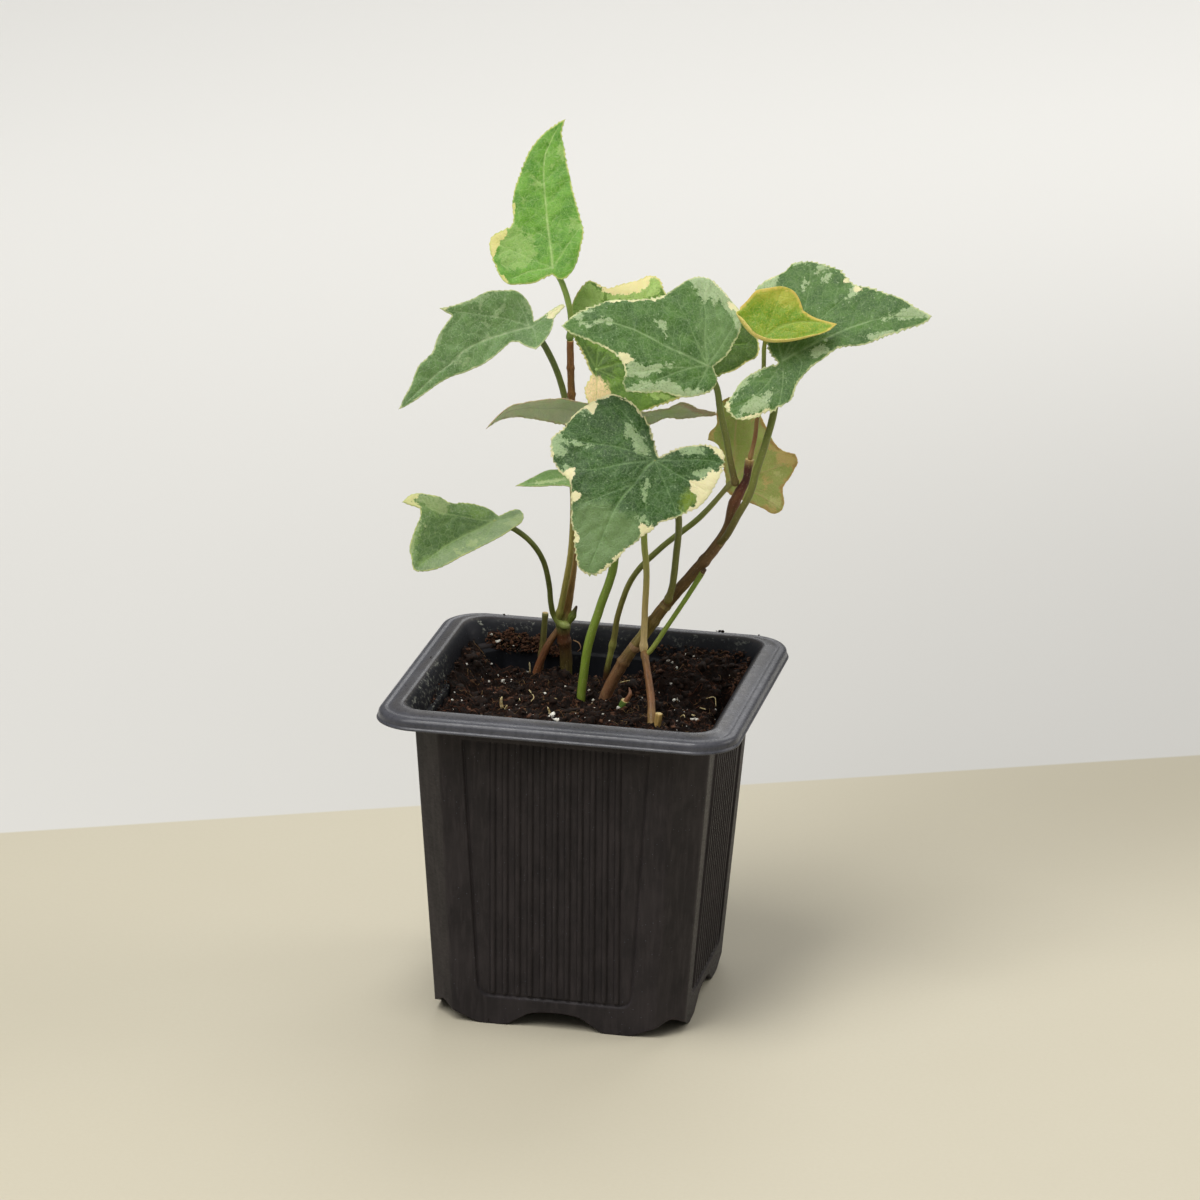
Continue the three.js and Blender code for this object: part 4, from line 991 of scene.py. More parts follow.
            [(-8, -5.6), (-4.4, -6.4), (-2.6, -8.4), (0.2, -9.8), (1.2, -12), (0.8, -17), (-4, -17),
                (-8, -10)],
        ],
    },
    "leaf_back_right": {
        "base": (31.5, 20, 128), "along": (0.37, 0.15, 0.92), "face": (0.14, 0.97, -0.22),
        "bend": (3, 0, 0, 0.25), "length": 20.5, "tooth": 0.12, "look": "under",
        "outline": [(0, -2.5), (2, 0.5), (4, 3), (5.5, 5.5), (7.5, 7), (10, 7), (10.3, 9), (9.5, 11.5),
            (11, 14.5), (10.5, 17.5), (8, 20), (3.5, 20.5), (0, 19), (-3, 16.5), (-6.5, 14), (-9, 13.5),
            (-12, 14), (-13.5, 12.5), (-13, 8), (-12.5, 5), (-14.5, 1.5), (-14.5, -0.5), (-13, -2),
            (-10, -2), (-7, -2.2), (-4, -2.6), (-1.5, -2.8)],
        "sharp": [5, 17],
        "veins": [
            [(0, 0), (2, 6), (4.6, 13), (6.6, 19.6)], [(0, 0), (4, 4), (9.6, 8)],
            [(0, 0), (-2, 7), (-3.6, 15)], [(0, 0), (-6, 6), (-12.6, 12.4)],
            [(0, 0), (-6, 0.6), (-13.6, 0.4)],
        ],
        "cream": [],
        "pale": [[(-10, 8.4), (-9, 7.4), (-10.6, 7)], [(-13, 3), (-10, 1), (-12, -1), (-14.4, 0)]],
        "tan": [
            [(-14.4, 14), (-10, 14.8), (-6.4, 14.6), (-4, 12), (-7.4, 11.6), (-9.4, 10), (-12, 10.6),
                (-14, 9.4)],
            [(-9, 5), (-7.4, 5.6), (-7, 3.6), (-8.6, 3)],
            [(-14.8, -1), (-12.4, -2.6), (-9, -2.6), (-9.6, -1.2), (-12.6, -0.2)],
            [(8.4, 7), (11, 7), (11.6, 12), (9.8, 12), (9, 9.4)],
            [(-14.6, 6.6), (-12, 7), (-12, 3.6), (-14.6, 2.6)],
            [(0.5, 18), (6, 21.4), (4, 19), (1.4, 16.6)],
        ],
    },
    "leaf_small": {
        "base": (0.5, 10, 129), "along": (-0.93, -0.37, -0.03), "face": (0.15, -0.45, 0.88),
        "bend": (1, 0, 0, 0.15), "length": 21, "tooth": 0.08, "look": "light",
        "outline": [(0, -1.5), (3.5, -1.5), (7, 1), (6.5, 5), (5, 9.5), (5, 12), (4, 15), (2.5, 18),
            (1, 21), (0, 16), (-0.6, 12), (-1.2, 8.5), (-2.5, 5.5), (-5, 2), (-3.5, -0.5)],
        "sharp": [0, 8],
        "veins": [
            [(0, 0), (1, 6), (1.5, 12), (1.2, 20)], [(0, 0), (3, 3), (5.6, 7)],
            [(0, 0), (-1.4, 2), (-4, 2.6)],
        ],
        "cream": [], "pale": [[(0.4, 9), (1, 16), (1.6, 16), (1.6, 9)]],
    },
}

# ---- looks and blades ---------------------------------------------------------------------------
# The third tone is the lighter, greyer tone of painted sheen, which also colours light grain; the dark
# tone colours dark mottling and streaks and the painted shade of dark patches.
LOOK_TONES = "low high soft pale cream vein edge under dark lime tan".split()


def look(tones, fleck, rim, rim_fray, glow=0.12, through=0.3, sheen_share=0.5, grain=0.55):
    """A blade's eleven colours in the order of LOOK_TONES, and how much of each effect it has."""
    shares = {"fleck": fleck, "rim": rim, "rim_fray": rim_fray, "glow": glow}
    shares |= {"through": through, "sheen_share": sheen_share, "grain": grain}
    return dict(zip(LOOK_TONES, map(tone, tones.split()))) | shares


LOOKS = {
    "bright": look(
        "4f8a1e 70a834 8aba4c a4c270 e2da8e b4d084 c9d07c 8fb863 437a1c a5bd45 c0a05a",
        0.35, 0.45, 0.3,
    ),
    "grey": look(
        "3a6022 50782f 75955a a9bd8f ece5b4 96b27a cdd39c 869c6c 345326 8aa63a b79a5c",
        0.62, 0.5, 0.9,
    ),
    "silver": look(
        "55763f 698c4f 86a46b abbf90 ece5b4 a3b98a bfc894 869c6c 466838 8aa63a b79a5c",
        0.55, 0.4, 0.6,
    ),
    "deep": look(
        "22470f 315a18 86a26c 9fb788 f0e9ba 86a770 dfdcaa 86a077 274820 8fa733 b79a5c",
        0.6, 0.55, 1.3, sheen_share=0.66, grain=0.4,
    ),
    "olive": look(
        "56763a 73934b 9aab86 a3b47c dcdb9c 8ba565 b9c07a 8ba070 41602c 8fa733 8a6a3a",
        0.3, 0.35, 0.5,
    ),
    "back": look(
        "4f7422 6e922f 86a648 a9c46c f4e8ac 82a04a dcd48a 86a856 34500f 9db045 fbdcab",
        0.3, 0.5, 0.8, glow=0.3,
    ),
    "young": look(
        "6a981d 8daa2a cfc24e b9bd4c e0c868 a5bd58 dcc260 ecd880 5f881c b9bb3c d6b85c",
        0.2, 1.0, 0.9, through=0.1,
    ),
    "dull": look(
        "b8b8a6 cbcab8 d0cfbe d6dac8 e2dec8 b4b6a6 a07a52 ecebe4 989b88 b0c85c b06c38",
        0.25, 0.8, 1.6, through=0.65, glow=0.5,
    ),
    "under": look(
        "a8b460 bac074 c6c886 d8d496 e8dcb0 d0b088 c08c5c d0d090 9a8f50 c0c074 e4c088",
        0.4, 1.0, 2.0, through=0.85, glow=0.45,
    ),
    "light": look(
        "67904a 83a75c 93b26c b5c98f d5d6a0 aec38a b4bd7e 9db377 5b8240 a0b050 b79a5c",
        0.2, 0.3, 0.3,
    ),
}


class Surface:
    """The middle surface of a leaf, from its own (across, along) to the plant's frame."""

    def __init__(self, leaf):
        self.base = np.array(leaf["base"], float)
        self.along = unit(leaf["along"])
        face = np.array(leaf["face"], float)
        self.face = unit(face - face @ self.along * self.along)
        self.across = np.cross(self.along, self.face)
        self.droop, self.cup, self.fold, self.ripple = leaf["bend"]
        self.power, self.pleat = leaf.get("hang", (2, 0))
        self.length = leaf["length"]

    def __call__(self, u, v, extra=0.0):
        t, reach = v / self.length, np.hypot(u, v) / self.length
        lift = -self.droop * np.abs(t) ** self.power + self.cup * (u / 20) ** 2
        lift = lift + self.fold * (np.hypot(u, 3) - 3)
        lift = lift + self.pleat * np.maximum(u, 0)
        lift = lift + self.ripple * reach * np.sin(5 * np.arctan2(u, v) + self.base[0]) + extra
        return self.base + np.outer(u, self.across) + np.outer(v, self.along) + lift[:, None] * self.face

    def normal(self, u, v):
        step = 0.15
        over = self(u + step, v) - self(u - step, v)
        up = self(u, v + step) - self(u, v - step)
        n = np.cross(over, up)
        return n / np.linalg.norm(n, axis=1)[:, None]


TOOTH_PITCH = 1.5


def margin(leaf, seed):
    """The outline with small teeth cut into it, which point to the leaf's tip."""
    loop = curve(leaf["outline"], 0.28, closed=True, sharp=leaf["sharp"])
    before, after = np.roll(loop, 1, 0), np.roll(loop, -1, 0)
    side = rightward(after - before)
    area = np.sum(loop[:, 0] * after[:, 1] - loop[:, 1] * after[:, 0])
    side = side if area > 0 else -side
    amount = leaf["tooth"]
    shift = []
    for s in np.cumsum(np.linalg.norm(after - loop, axis=1)):
        phase = (s + 1.1 * wave(s * 0.3, seed)) / TOOTH_PITCH % 1
        depth = amount * (0.9 + 1.5 * wave(s * 0.21, seed + 9))
        shift.append(-max(depth, 0.2 * amount) * (1 - phase**1.6) + 0.25 * amount * wave(s * 1.4, seed))
    loop = loop + side * np.array(shift)[:, None]
    return loop if area > 0 else loop[::-1]


VEIN_STEP = 0.5


def side_veins(mains, loop, rng):
    """Finer veins that leave the main ones by turns on either side and bend towards their tips."""
    found = []
    lines = [curve(main, VEIN_STEP) for main in mains]
    others = np.vstack(lines)
    for line in lines:
        if len(line) < 12:
            continue
        at, hand = 6 + rng.uniform(0, 3), rng.choice((-1, 1))
        while at < len(line) - 5:
            i = int(at)
            ahead = unit(line[i + 1] - line[i - 1])
            spread = math.radians(rng.uniform(42, 58)) * hand
            here, path = line[i].copy(), [line[i].copy()]
            for k in range(int(rng.uniform(4, 11) / VEIN_STEP)):
                spread *= 0.985
                c, s = math.cos(spread), math.sin(spread)
                turned_ahead = np.array([ahead[0] * c - ahead[1] * s, ahead[0] * s + ahead[1] * c])
                here = here + VEIN_STEP * turned_ahead
                gap = np.hypot(*(loop - here).T).min()
                close = np.hypot(*(others - here).T).min()
                if gap < 0.7 or not inside_loop(here[None], loop)[0] or (k > 3 and close < 0.6):
                    break
                path.append(here.copy())
            if len(path) > 4:
                found.append(np.array(path))
            at += rng.uniform(4.2, 7.5)
            hand = -hand
    return found


def thinned(points, cell):
    """The points with no two in one small cell, the first kept."""
    _, first = np.unique(np.floor(points / cell).astype(int), axis=0, return_index=True)
    return points[np.sort(first)]


def patch_depth(points, patches):
    """How far inside the nearest of some drawn patches each point is; below zero outside them."""
    best = np.full(len(points), -6.0)
    for patch in patches:
        loop = np.array(patch, float)
        away, _ = to_path(points, loop, closed=True)
        best = np.maximum(best, np.where(inside_loop(points, loop), away, -away))
    return best


def leaf_material(name, c, pale_share):
    """A blade's colours, from what blade() writes on its points and the look c."""
    s = Shader(
        name + "_blade", Roughness=0.45, Specular_IOR_Level=0.34, Subsurface_Weight=c["glow"],
        Subsurface_Radius=(0.5, 0.9, 0.25), Subsurface_Scale=0.0012,
    )
    at, fan = s.attribute("leaf_at"), s.attribute("leaf_fan")
    cream, pale, soft = s.split(s.attribute("leaf_patch"))
    tan, dark, lime = s.split(s.attribute("leaf_patch2"))
    main, fine, rim = s.split(s.attribute("leaf_vein"))
    upper = s.split(s.attribute("leaf_side"))[0]
    ragged = s.less(s.noise(at, 0.75, 6, 0.68), 0.5)
    streak = s.less(s.noise(fan, 1.0, 5, 0.65), 0.5)
    angular = s.less(s.split(s.cells(at, 1.25, output="Color"))[0], 0.5)
    fray = s.plus(s.times(ragged, 2.6), s.times(angular, 0.9))
    fray = s.plus(fray, s.times(streak, 3.2))
    fray = s.plus(fray, s.times(s.less(s.noise(at, 3.2, 3, 0.7), 0.5), 1.5))

    def inside(depth, reach=1.0, width=0.12):
        return s.ramp(s.plus(depth, s.times(fray, reach)), -width, width)

    color = s.mix(s.ramp(s.noise(at, 0.22, 5, 0.6), 0.36, 0.66), c["low"], c["high"])
    # painted sheen: the drawn patches of sheen lightened towards the greyer sheen tone
    color = s.mix(s.times(inside(soft, 1.3, 2.2), c["sheen_share"]), color, c["soft"])
    grain = s.noise(at, 1.9, 5, 0.75)
    color = s.mix(s.ramp(streak, 0.02, 0.22, 0, 0.35), color, c["dark"])
    color = s.mix(s.ramp(grain, 0.47, 0.66, 0, c["grain"]), color, c["soft"])
    color = s.mix(s.ramp(s.noise(at, 2.3, 5, 0.75), 0.5, 0.68, 0, 0.45), color, c["dark"])
    # painted shade: the drawn dark patches darkened
    color = s.mix(s.times(inside(dark, 1.2, 0.8), 0.75), color, c["dark"])
    flecks = s.ramp(s.noise(at, 1.15, 5, 0.66), 0.63, 0.68)
    flecks = s.math("MAXIMUM", flecks, s.ramp(s.cells(at, 0.55), 0.13, 0.07, 0, 0.8))
    color = s.mix(s.times(flecks, c["fleck"]), color, c["pale"])
    speckled = s.ramp(s.noise(at, 1.9, 4, 0.7), 0.34, 0.5, 0.45 * pale_share, pale_share)
    color = s.mix(s.times(inside(pale), speckled), color, c["pale"])
    color = s.mix(s.times(inside(lime, 0.8, 1.1), 0.6), color, c["lime"])
    color = s.mix(s.times(inside(tan, 0.9, 0.5), s.ramp(grain, 0.3, 0.6, 0.7, 0.95)), color, c["tan"])
    net = s.ramp(s.cells(at, 0.62, "DISTANCE_TO_EDGE"), 0.0, 0.09, 1.0, 0.0)
    mesh = s.ramp(s.cells(at, 1.7, "DISTANCE_TO_EDGE"), 0.0, 0.12, 1.0, 0.0)
    for lines, share in ((net, 0.2), (mesh, 0.11), (fine, 0.2)):
        color = s.mix(s.times(lines, share), color, c["vein"])
    shown = s.ramp(s.noise(at, 0.3, 2), 0.3, 0.62, 0.3, 0.85)
    color = s.mix(s.times(main, shown), color, c["vein"])
    cream_tone = s.mix(s.noise(at, 0.9, 3), c["cream"], s.mix(0.35, c["cream"], c["edge"]))
    color = s.mix(inside(cream, 0.55, 0.1), color, cream_tone)
    uneven = s.plus(rim, s.times(s.plus(ragged, streak), -c["rim_fray"]))
    broken = s.ramp(s.noise(at, 0.35, 3), 0.38, 0.5, 0.35, 0.95)
    color = s.mix(s.times(s.ramp(uneven, 0.1, c["rim"], 1.0, 0.0), broken), color, c["edge"])
    back = s.mix(c["through"], c["under"], color)
    back_veins = s.times(s.plus(s.times(main, 0.6), s.times(mesh, 0.25)), 0.7)
    color = s.mix(upper, s.mix(back_veins, back, c["vein"]), color)
    height = s.plus(s.times(net, -0.5), s.times(mesh, -0.35))
    height = s.plus(height, s.times(s.noise(at, 3.4, 3, 0.65), 1.1))
    height = s.plus(height, s.times(s.noise(at, 0.5, 3), 1.2))
    rough = s.ramp(s.noise(at, 0.8, 4), 0.3, 0.7, 0.33, 0.48)
    return s.finish(color, rough, s.bump(height, 0.65, 0.13))


def rolled(leaf, surface, at, points, height):
    """Points past the roll's line are bent up round it, towards the face."""
    line = curve(leaf["roll"]["line"], 0.3)
    radii = np.linspace(*leaf["roll"]["radius"], len(line))
    out = rightward(np.gradient(line, axis=0))
    made = points.copy()
    for k, p in enumerate(at):
        gaps = np.hypot(*(line - p).T)
        i = int(np.argmin(gaps))
        past = float((p - line[i]) @ out[i])
        if past <= 0 or i in (0, len(line) - 1) and gaps[i] > past + 0.4:
            continue
        q, radius = line[i][None], radii[i]
        turn = past / radius
        away = out[i][0] * surface.across + out[i][1] * surface.along
        face = surface.normal(q[:, 0], q[:, 1])[0]
        away = unit(away - away @ face * face)
        foot = surface(q[:, 0], q[:, 1])[0]
        reach = radius - height[k]
        made[k] = foot + away * reach * math.sin(turn) + face * (radius - reach * math.cos(turn))
    return made


# A blade's mesh: spacing of its lattice, the least gap from there to the veins' points, the cell in
# which one vein point is kept, and how far inside the edge its second row and the first others stand.
LATTICE, VEIN_GAP, VEIN_CELL, SECOND_ROW, EDGE_GAP = 0.52, 0.3, 0.13, 0.14, 0.26
MIDRIB_WIDTH, VEIN_WIDTH, VEIN_TAPER = 0.34, 0.26, 0.68
BESIDE_VEIN = (-2.2, -1, 1, 2.2)


def vein_lines(mains):
    """Each main vein as a line and its width along it."""
    made = []
    for k, main in enumerate(mains):
        line = curve(main, 0.3)
        taper = 1 - VEIN_TAPER * np.linspace(0, 1, len(line))
        made.append((line, (VEIN_WIDTH if k else MIDRIB_WIDTH) * taper))
    return made


def blade_points(loop, lines, fine):
    """Points for a flat blade: its edge, a row inside that, a lattice and rows along the veins."""
    rows = []
    for line, width in lines:
        side = rightward(np.gradient(line, axis=0))
        rows += [line] + [line + side * (width * d)[:, None] for d in BESIDE_VEIN]
    rows += [curve(path, 0.4) for path in fine]
    veins = thinned(np.vstack(rows), VEIN_CELL)
    low, high = loop.min(0), loop.max(0)
    xs, ys = np.arange(low[0], high[0], LATTICE), np.arange(low[1], high[1], LATTICE * 0.87)
    gx, gy = np.meshgrid(xs, ys)
    gx = gx + (np.arange(len(ys)) % 2)[:, None] * LATTICE / 2
    lattice = np.column_stack([gx.ravel(), gy.ravel()])
    lattice = lattice[inside_loop(lattice, loop)]
    near = np.array([np.hypot(*(veins - p).T).min() for p in lattice])
    inner = np.vstack([lattice[near > VEIN_GAP], veins])
    inner = inner[inside_loop(inner, loop)]
    away, _ = to_path(inner, loop, closed=True)
    second = loop - rightward(np.roll(loop, -1, 0) - np.roll(loop, 1, 0)) * SECOND_ROW
    return np.vstack([loop, second[inside_loop(second, loop)], inner[away > EDGE_GAP]])


def veins_at(at, lines, fine):
    """How strong the main and the fine veins are at each point, and how far off the nearest is."""
    strength, thin, nearest = np.zeros(len(at)), np.zeros(len(at)), np.full(len(at), 9.0)
    for k, (line, width) in enumerate(lines):
        d, run = to_path(at, line)
        share = run / np.linalg.norm(np.diff(line, axis=0), axis=1).sum()
        w = np.interp(share, np.linspace(0, 1, len(width)), width)
        weight = 0.6 if k else 1.0
        strength = np.maximum(strength, weight * bell(d, w) * smooth(1.02, 0.86, share))
        nearest = np.minimum(nearest, d)
    for path in fine:
        d, run = to_path(at, path)
        thin = np.maximum(thin, smooth(0.3, 0.0, d) * (1 - 0.6 * run / max(run.max(), 1)))
        nearest = np.minimum(nearest, d + 0.25)
    return strength, thin, nearest


def open_edges(tris):
    """The edges that only one triangle has, each in that triangle's direction."""
    found = {}
    for a, b, c in tris:
        for start, end in ((a, b), (b, c), (c, a)):
            if not found.pop((end, start), False):
                found[(start, end)] = True
    return list(found)


def both(values):
    """Values for the upper side's points and again for the lower side's."""
    return np.vstack([values, values])


def blade(leaf, build, rng, seed):
    """Adds a two-sided blade to a build, with what its material reads, and gives its surface."""
    surface = Surface(leaf)
    loop = margin(leaf, seed)
    mains = [np.array(m, float) for m in leaf["veins"]]
    fine = side_veins(mains, loop, rng)
    lines = vein_lines(mains)
    flat = [Vector(p) for p in blade_points(loop, lines, fine)]
    n = len(loop)
    where, _, tris, _, _, _ = delaunay_2d_cdt(flat, loop_edges(0, n), [list(range(n))], 1, 1e-6)
    at = np.array([tuple(w) for w in where])
    u, v = at[:, 0], at[:, 1]
    count = len(at)
    rim, _ = to_path(at, loop, closed=True)
    strength, thin, nearest = veins_at(at, lines, fine)
    swell = [0.55 * wave(a * 0.16, b * 0.16, seed) + 0.2 * wave(a * 0.45, b * 0.45, seed) for a, b in at]
    swell = np.array(swell) * np.clip(np.hypot(u, v) / 8, 0, 1)
    pillow = 0.2 * (1 - bell(nearest, 1.1)) * smooth(0, 1.5, rim)
    middle = surface(u, v, swell)
    normal = surface.normal(u, v)
    half = BLADE_HALF * (0.45 + 0.55 * smooth(0, 0.35, rim))
    over = half + pillow - 0.13 * strength - 0.04 * thin
    below_it = half - 0.6 * pillow + 0.16 * strength + 0.05 * thin
    top, under = middle + normal * over[:, None], middle - normal * below_it[:, None]
    if "roll" in leaf:
        top = rolled(leaf, surface, at, top, over)
        under = rolled(leaf, surface, at, under, -below_it)
    faces = [tuple(t) for t in tris] + [(a + count, c + count, b + count) for a, b, c in tris]
    faces += [(b, a, a + count, b + count) for a, b in open_edges(tris)]
    patches = [patch_depth(at, leaf.get(k, [])) for k in ("cream", "pale", "soft", "tan", "dark", "lime")]
    fan = [np.arctan2(u, v + 1) * 9, np.hypot(u, v) * 0.3, np.full(count, seed)]
    side = np.zeros((2 * count, 3))
    side[:count, 0] = 1
    build.add(
        np.vstack([top, under]), faces,
        leaf_at=both(np.column_stack([u, v, np.full(count, seed * 7.3)])),
        leaf_fan=both(np.column_stack(fan)),
        leaf_patch=both(np.column_stack(patches[:3])),
        leaf_patch2=both(np.column_stack(patches[3:])),
        leaf_vein=both(np.column_stack([strength, thin, rim])),
        leaf_side=side,
    )
    return surface


# ---- stems --------------------------------------------------------------------------------------
# How each end of a stem closes: rings as (shrink, how far out in radii).
ENDS = {"round": ((0.75, 0.45), (0.35, 0.66)), "cut": ((0.93, 0.05), (0.5, 0.02))}
CUT_TONE = "c9b070"


def frames(line):
    """Directions square to a line that don't spin round it."""
    ahead = np.gradient(line, axis=0)
    ahead /= np.linalg.norm(ahead, axis=1)[:, None]
    side = unit(np.cross(ahead[0], (0.31, 0.87, 0.2)))
    sides = []
    for a in ahead:
        side = unit(side - side @ a * a)
        sides.append(side)
    sides = np.array(sides)
    return ahead, sides, np.cross(ahead, sides)


def tube(
    build, points, colors, seed, mat=0, sides=16, step=0.55, nodes=(), lumps=0.05, ridge=0.02, end="round"
):
    """A round stem through (x, y, z, radius) with a colour for each point. Nodes are (place from 0 to
    1, how much it swells, half width in mm)."""
    given = np.array(points, float)
    tints = np.array([tone(code) for code in colors.split()])
    line = curve(given[:, :3], step)
    dense = curve(given[:, :3], 0.05)
    run = run_along(dense)
    marks = [run[np.argmin(np.linalg.norm(dense - p, axis=1))] for p in given[:, :3]]
    marks[0], marks[-1] = 0, run[-1]
    marks = np.maximum.accumulate(marks)
    spots = np.linspace(0, run[-1], len(line))
    radius = np.interp(spots, marks, given[:, 3])
    tint = np.column_stack([np.interp(spots, marks, tints[:, k]) for k in range(4)])
    for place, swell, width in nodes:
        radius = radius * (1 + swell * bell(spots - place * run[-1], width))
    ahead, side, over = frames(line)
    turn = around(sides)
    rings, grain = [], []
    for i, centre in enumerate(line):
        r = []
        for t in turn:
            bumps = lumps * wave(math.cos(t) * 1.2 + seed, math.sin(t) * 1.2, spots[i] * 0.45)
            r.append(radius[i] * (1 + bumps + ridge * math.cos(5 * t + seed)))
        rings.append(ring(centre, turn, np.array(r), side[i], over[i]))
        along, piece = np.full(sides, spots[i]), np.full(sides, seed * 5.1)
        grain.append(np.column_stack([turn * radius[i], along, piece]))

    def close(i, way, kind):
        """The two rings that close an end, the outer one last."""
        starts = [line[i] + ahead[i] * way * out * radius[i] for _, out in ENDS[kind]]
        return [at + (rings[i] - line[i]) * shrink for at, (shrink, _) in zip(starts, ENDS[kind])]

    last_tone = tone(CUT_TONE) if end == "cut" else tint[-1]
    tones = np.vstack([tint[0], tint[0], tint, last_tone, last_tone])
    rings = close(0, -1, "round")[::-1] + rings + close(-1, 1, end)
    grain = [grain[0]] * 2 + grain + [grain[-1]] * 2
    build.add(
        np.vstack(rings), tube_faces(len(rings), sides), mat,
        stem_tint=np.repeat(tones, sides, axis=0), stem_at=np.vstack(grain),
    )
    return line, radius, side, over


def slim(build, path, mat, sides=4):
    """A thin thread through (x, y, z, radius) that tapers at its end."""
    line = curve([p[:3] for p in path], 0.5)
    spots = np.linspace(0, 1, len(path))
    radius = np.interp(np.linspace(0, 1, len(line)), spots, [p[3] for p in path])
    radius[-1] *= 0.3
    _, side, over = frames(line)
    rings = [ring(c, around(sides), r, s, o) for c, r, s, o in zip(line, radius, side, over)]
    build.add(np.vstack(rings), tube_faces(len(rings), sides), mat)


HAIR_RADIUS = 0.035


def hairs(build, made, rng, count, length, mat, color):
    """Short hairs that stand out of a stem, each a slim three-sided cone."""
    line, radius, side, over = made
    for _ in range(count):
        i = rng.randrange(2, len(line) - 2)
        t = rng.uniform(0, 2 * math.pi)
        out = side[i] * math.cos(t) + over[i] * math.sin(t)
        root = line[i] + out * radius[i] * 0.96
        lean = unit(out + np.array([rng.uniform(-0.5, 0.5) for _ in range(3)]))
        a = unit(np.cross(lean, (0.3, 0.2, 0.9)))
        b = np.cross(lean, a)
        base = [root + HAIR_RADIUS * (a * math.cos(k) + b * math.sin(k)) for k in (0, 2.09, 4.19)]
        tip = root + lean * length * rng.uniform(0.5, 1.2)
        faces = [(0, 2, 1), (0, 1, 3), (1, 2, 3), (2, 0, 3)]
        build.add(base + [tip], faces, mat, stem_tint=tone(color), stem_at=np.zeros(3))


def stem_material(name, streak, rough):
    s = Shader(
        name, Roughness=rough, Subsurface_Weight=0.06, Subsurface_Radius=(0.8, 0.7, 0.3),
        Subsurface_Scale=0.001,
    )
    at = s.attribute("stem_at")
    tint = s.attribute("stem_tint", "Color")
    long = s.noise(s.stretch(at, (2.2, 0.28, 1)), 1.0, 4, 0.6)
    blotch = s.noise(s.place(), 0.55, 4, 0.6)
    dark = s.mix(0.7, tint, (0.02, 0.012, 0.006, 1))
    color = s.mix(s.ramp(long, 0.4, 0.66, 0.0, streak), tint, dark)
    color = s.mix(s.ramp(blotch, 0.5, 0.72, 0, 0.3), color, s.mix(0.3, tint, (0.5, 0.38, 0.14, 1)))
    dots = s.ramp(s.cells(s.stretch(at, (1, 0.6, 1)), 1.9), 0.12, 0.24, 1, 0)
    color = s.mix(s.times(dots, 0.5), color, s.mix(0.5, tint, (0.6, 0.5, 0.32, 1)))
    height = s.plus(s.times(long, 0.8), s.times(dots, 0.5))
    rough = s.ramp(blotch, 0.3, 0.7, rough - 0.06, rough + 0.1)
    return s.finish(color, rough, s.bump(height, 0.4, 0.12))


def below(points, depth=9):
    """The path carried on down into the soil as in the source."""
    a, b = points[0], points[1]
    t = depth / (b[2] - a[2])
    foot = [a[k] - (b[k] - a[k]) * t * 0.5 for k in (0, 1)]
    return [(*foot, a[2] - depth, a[3])] + list(points)


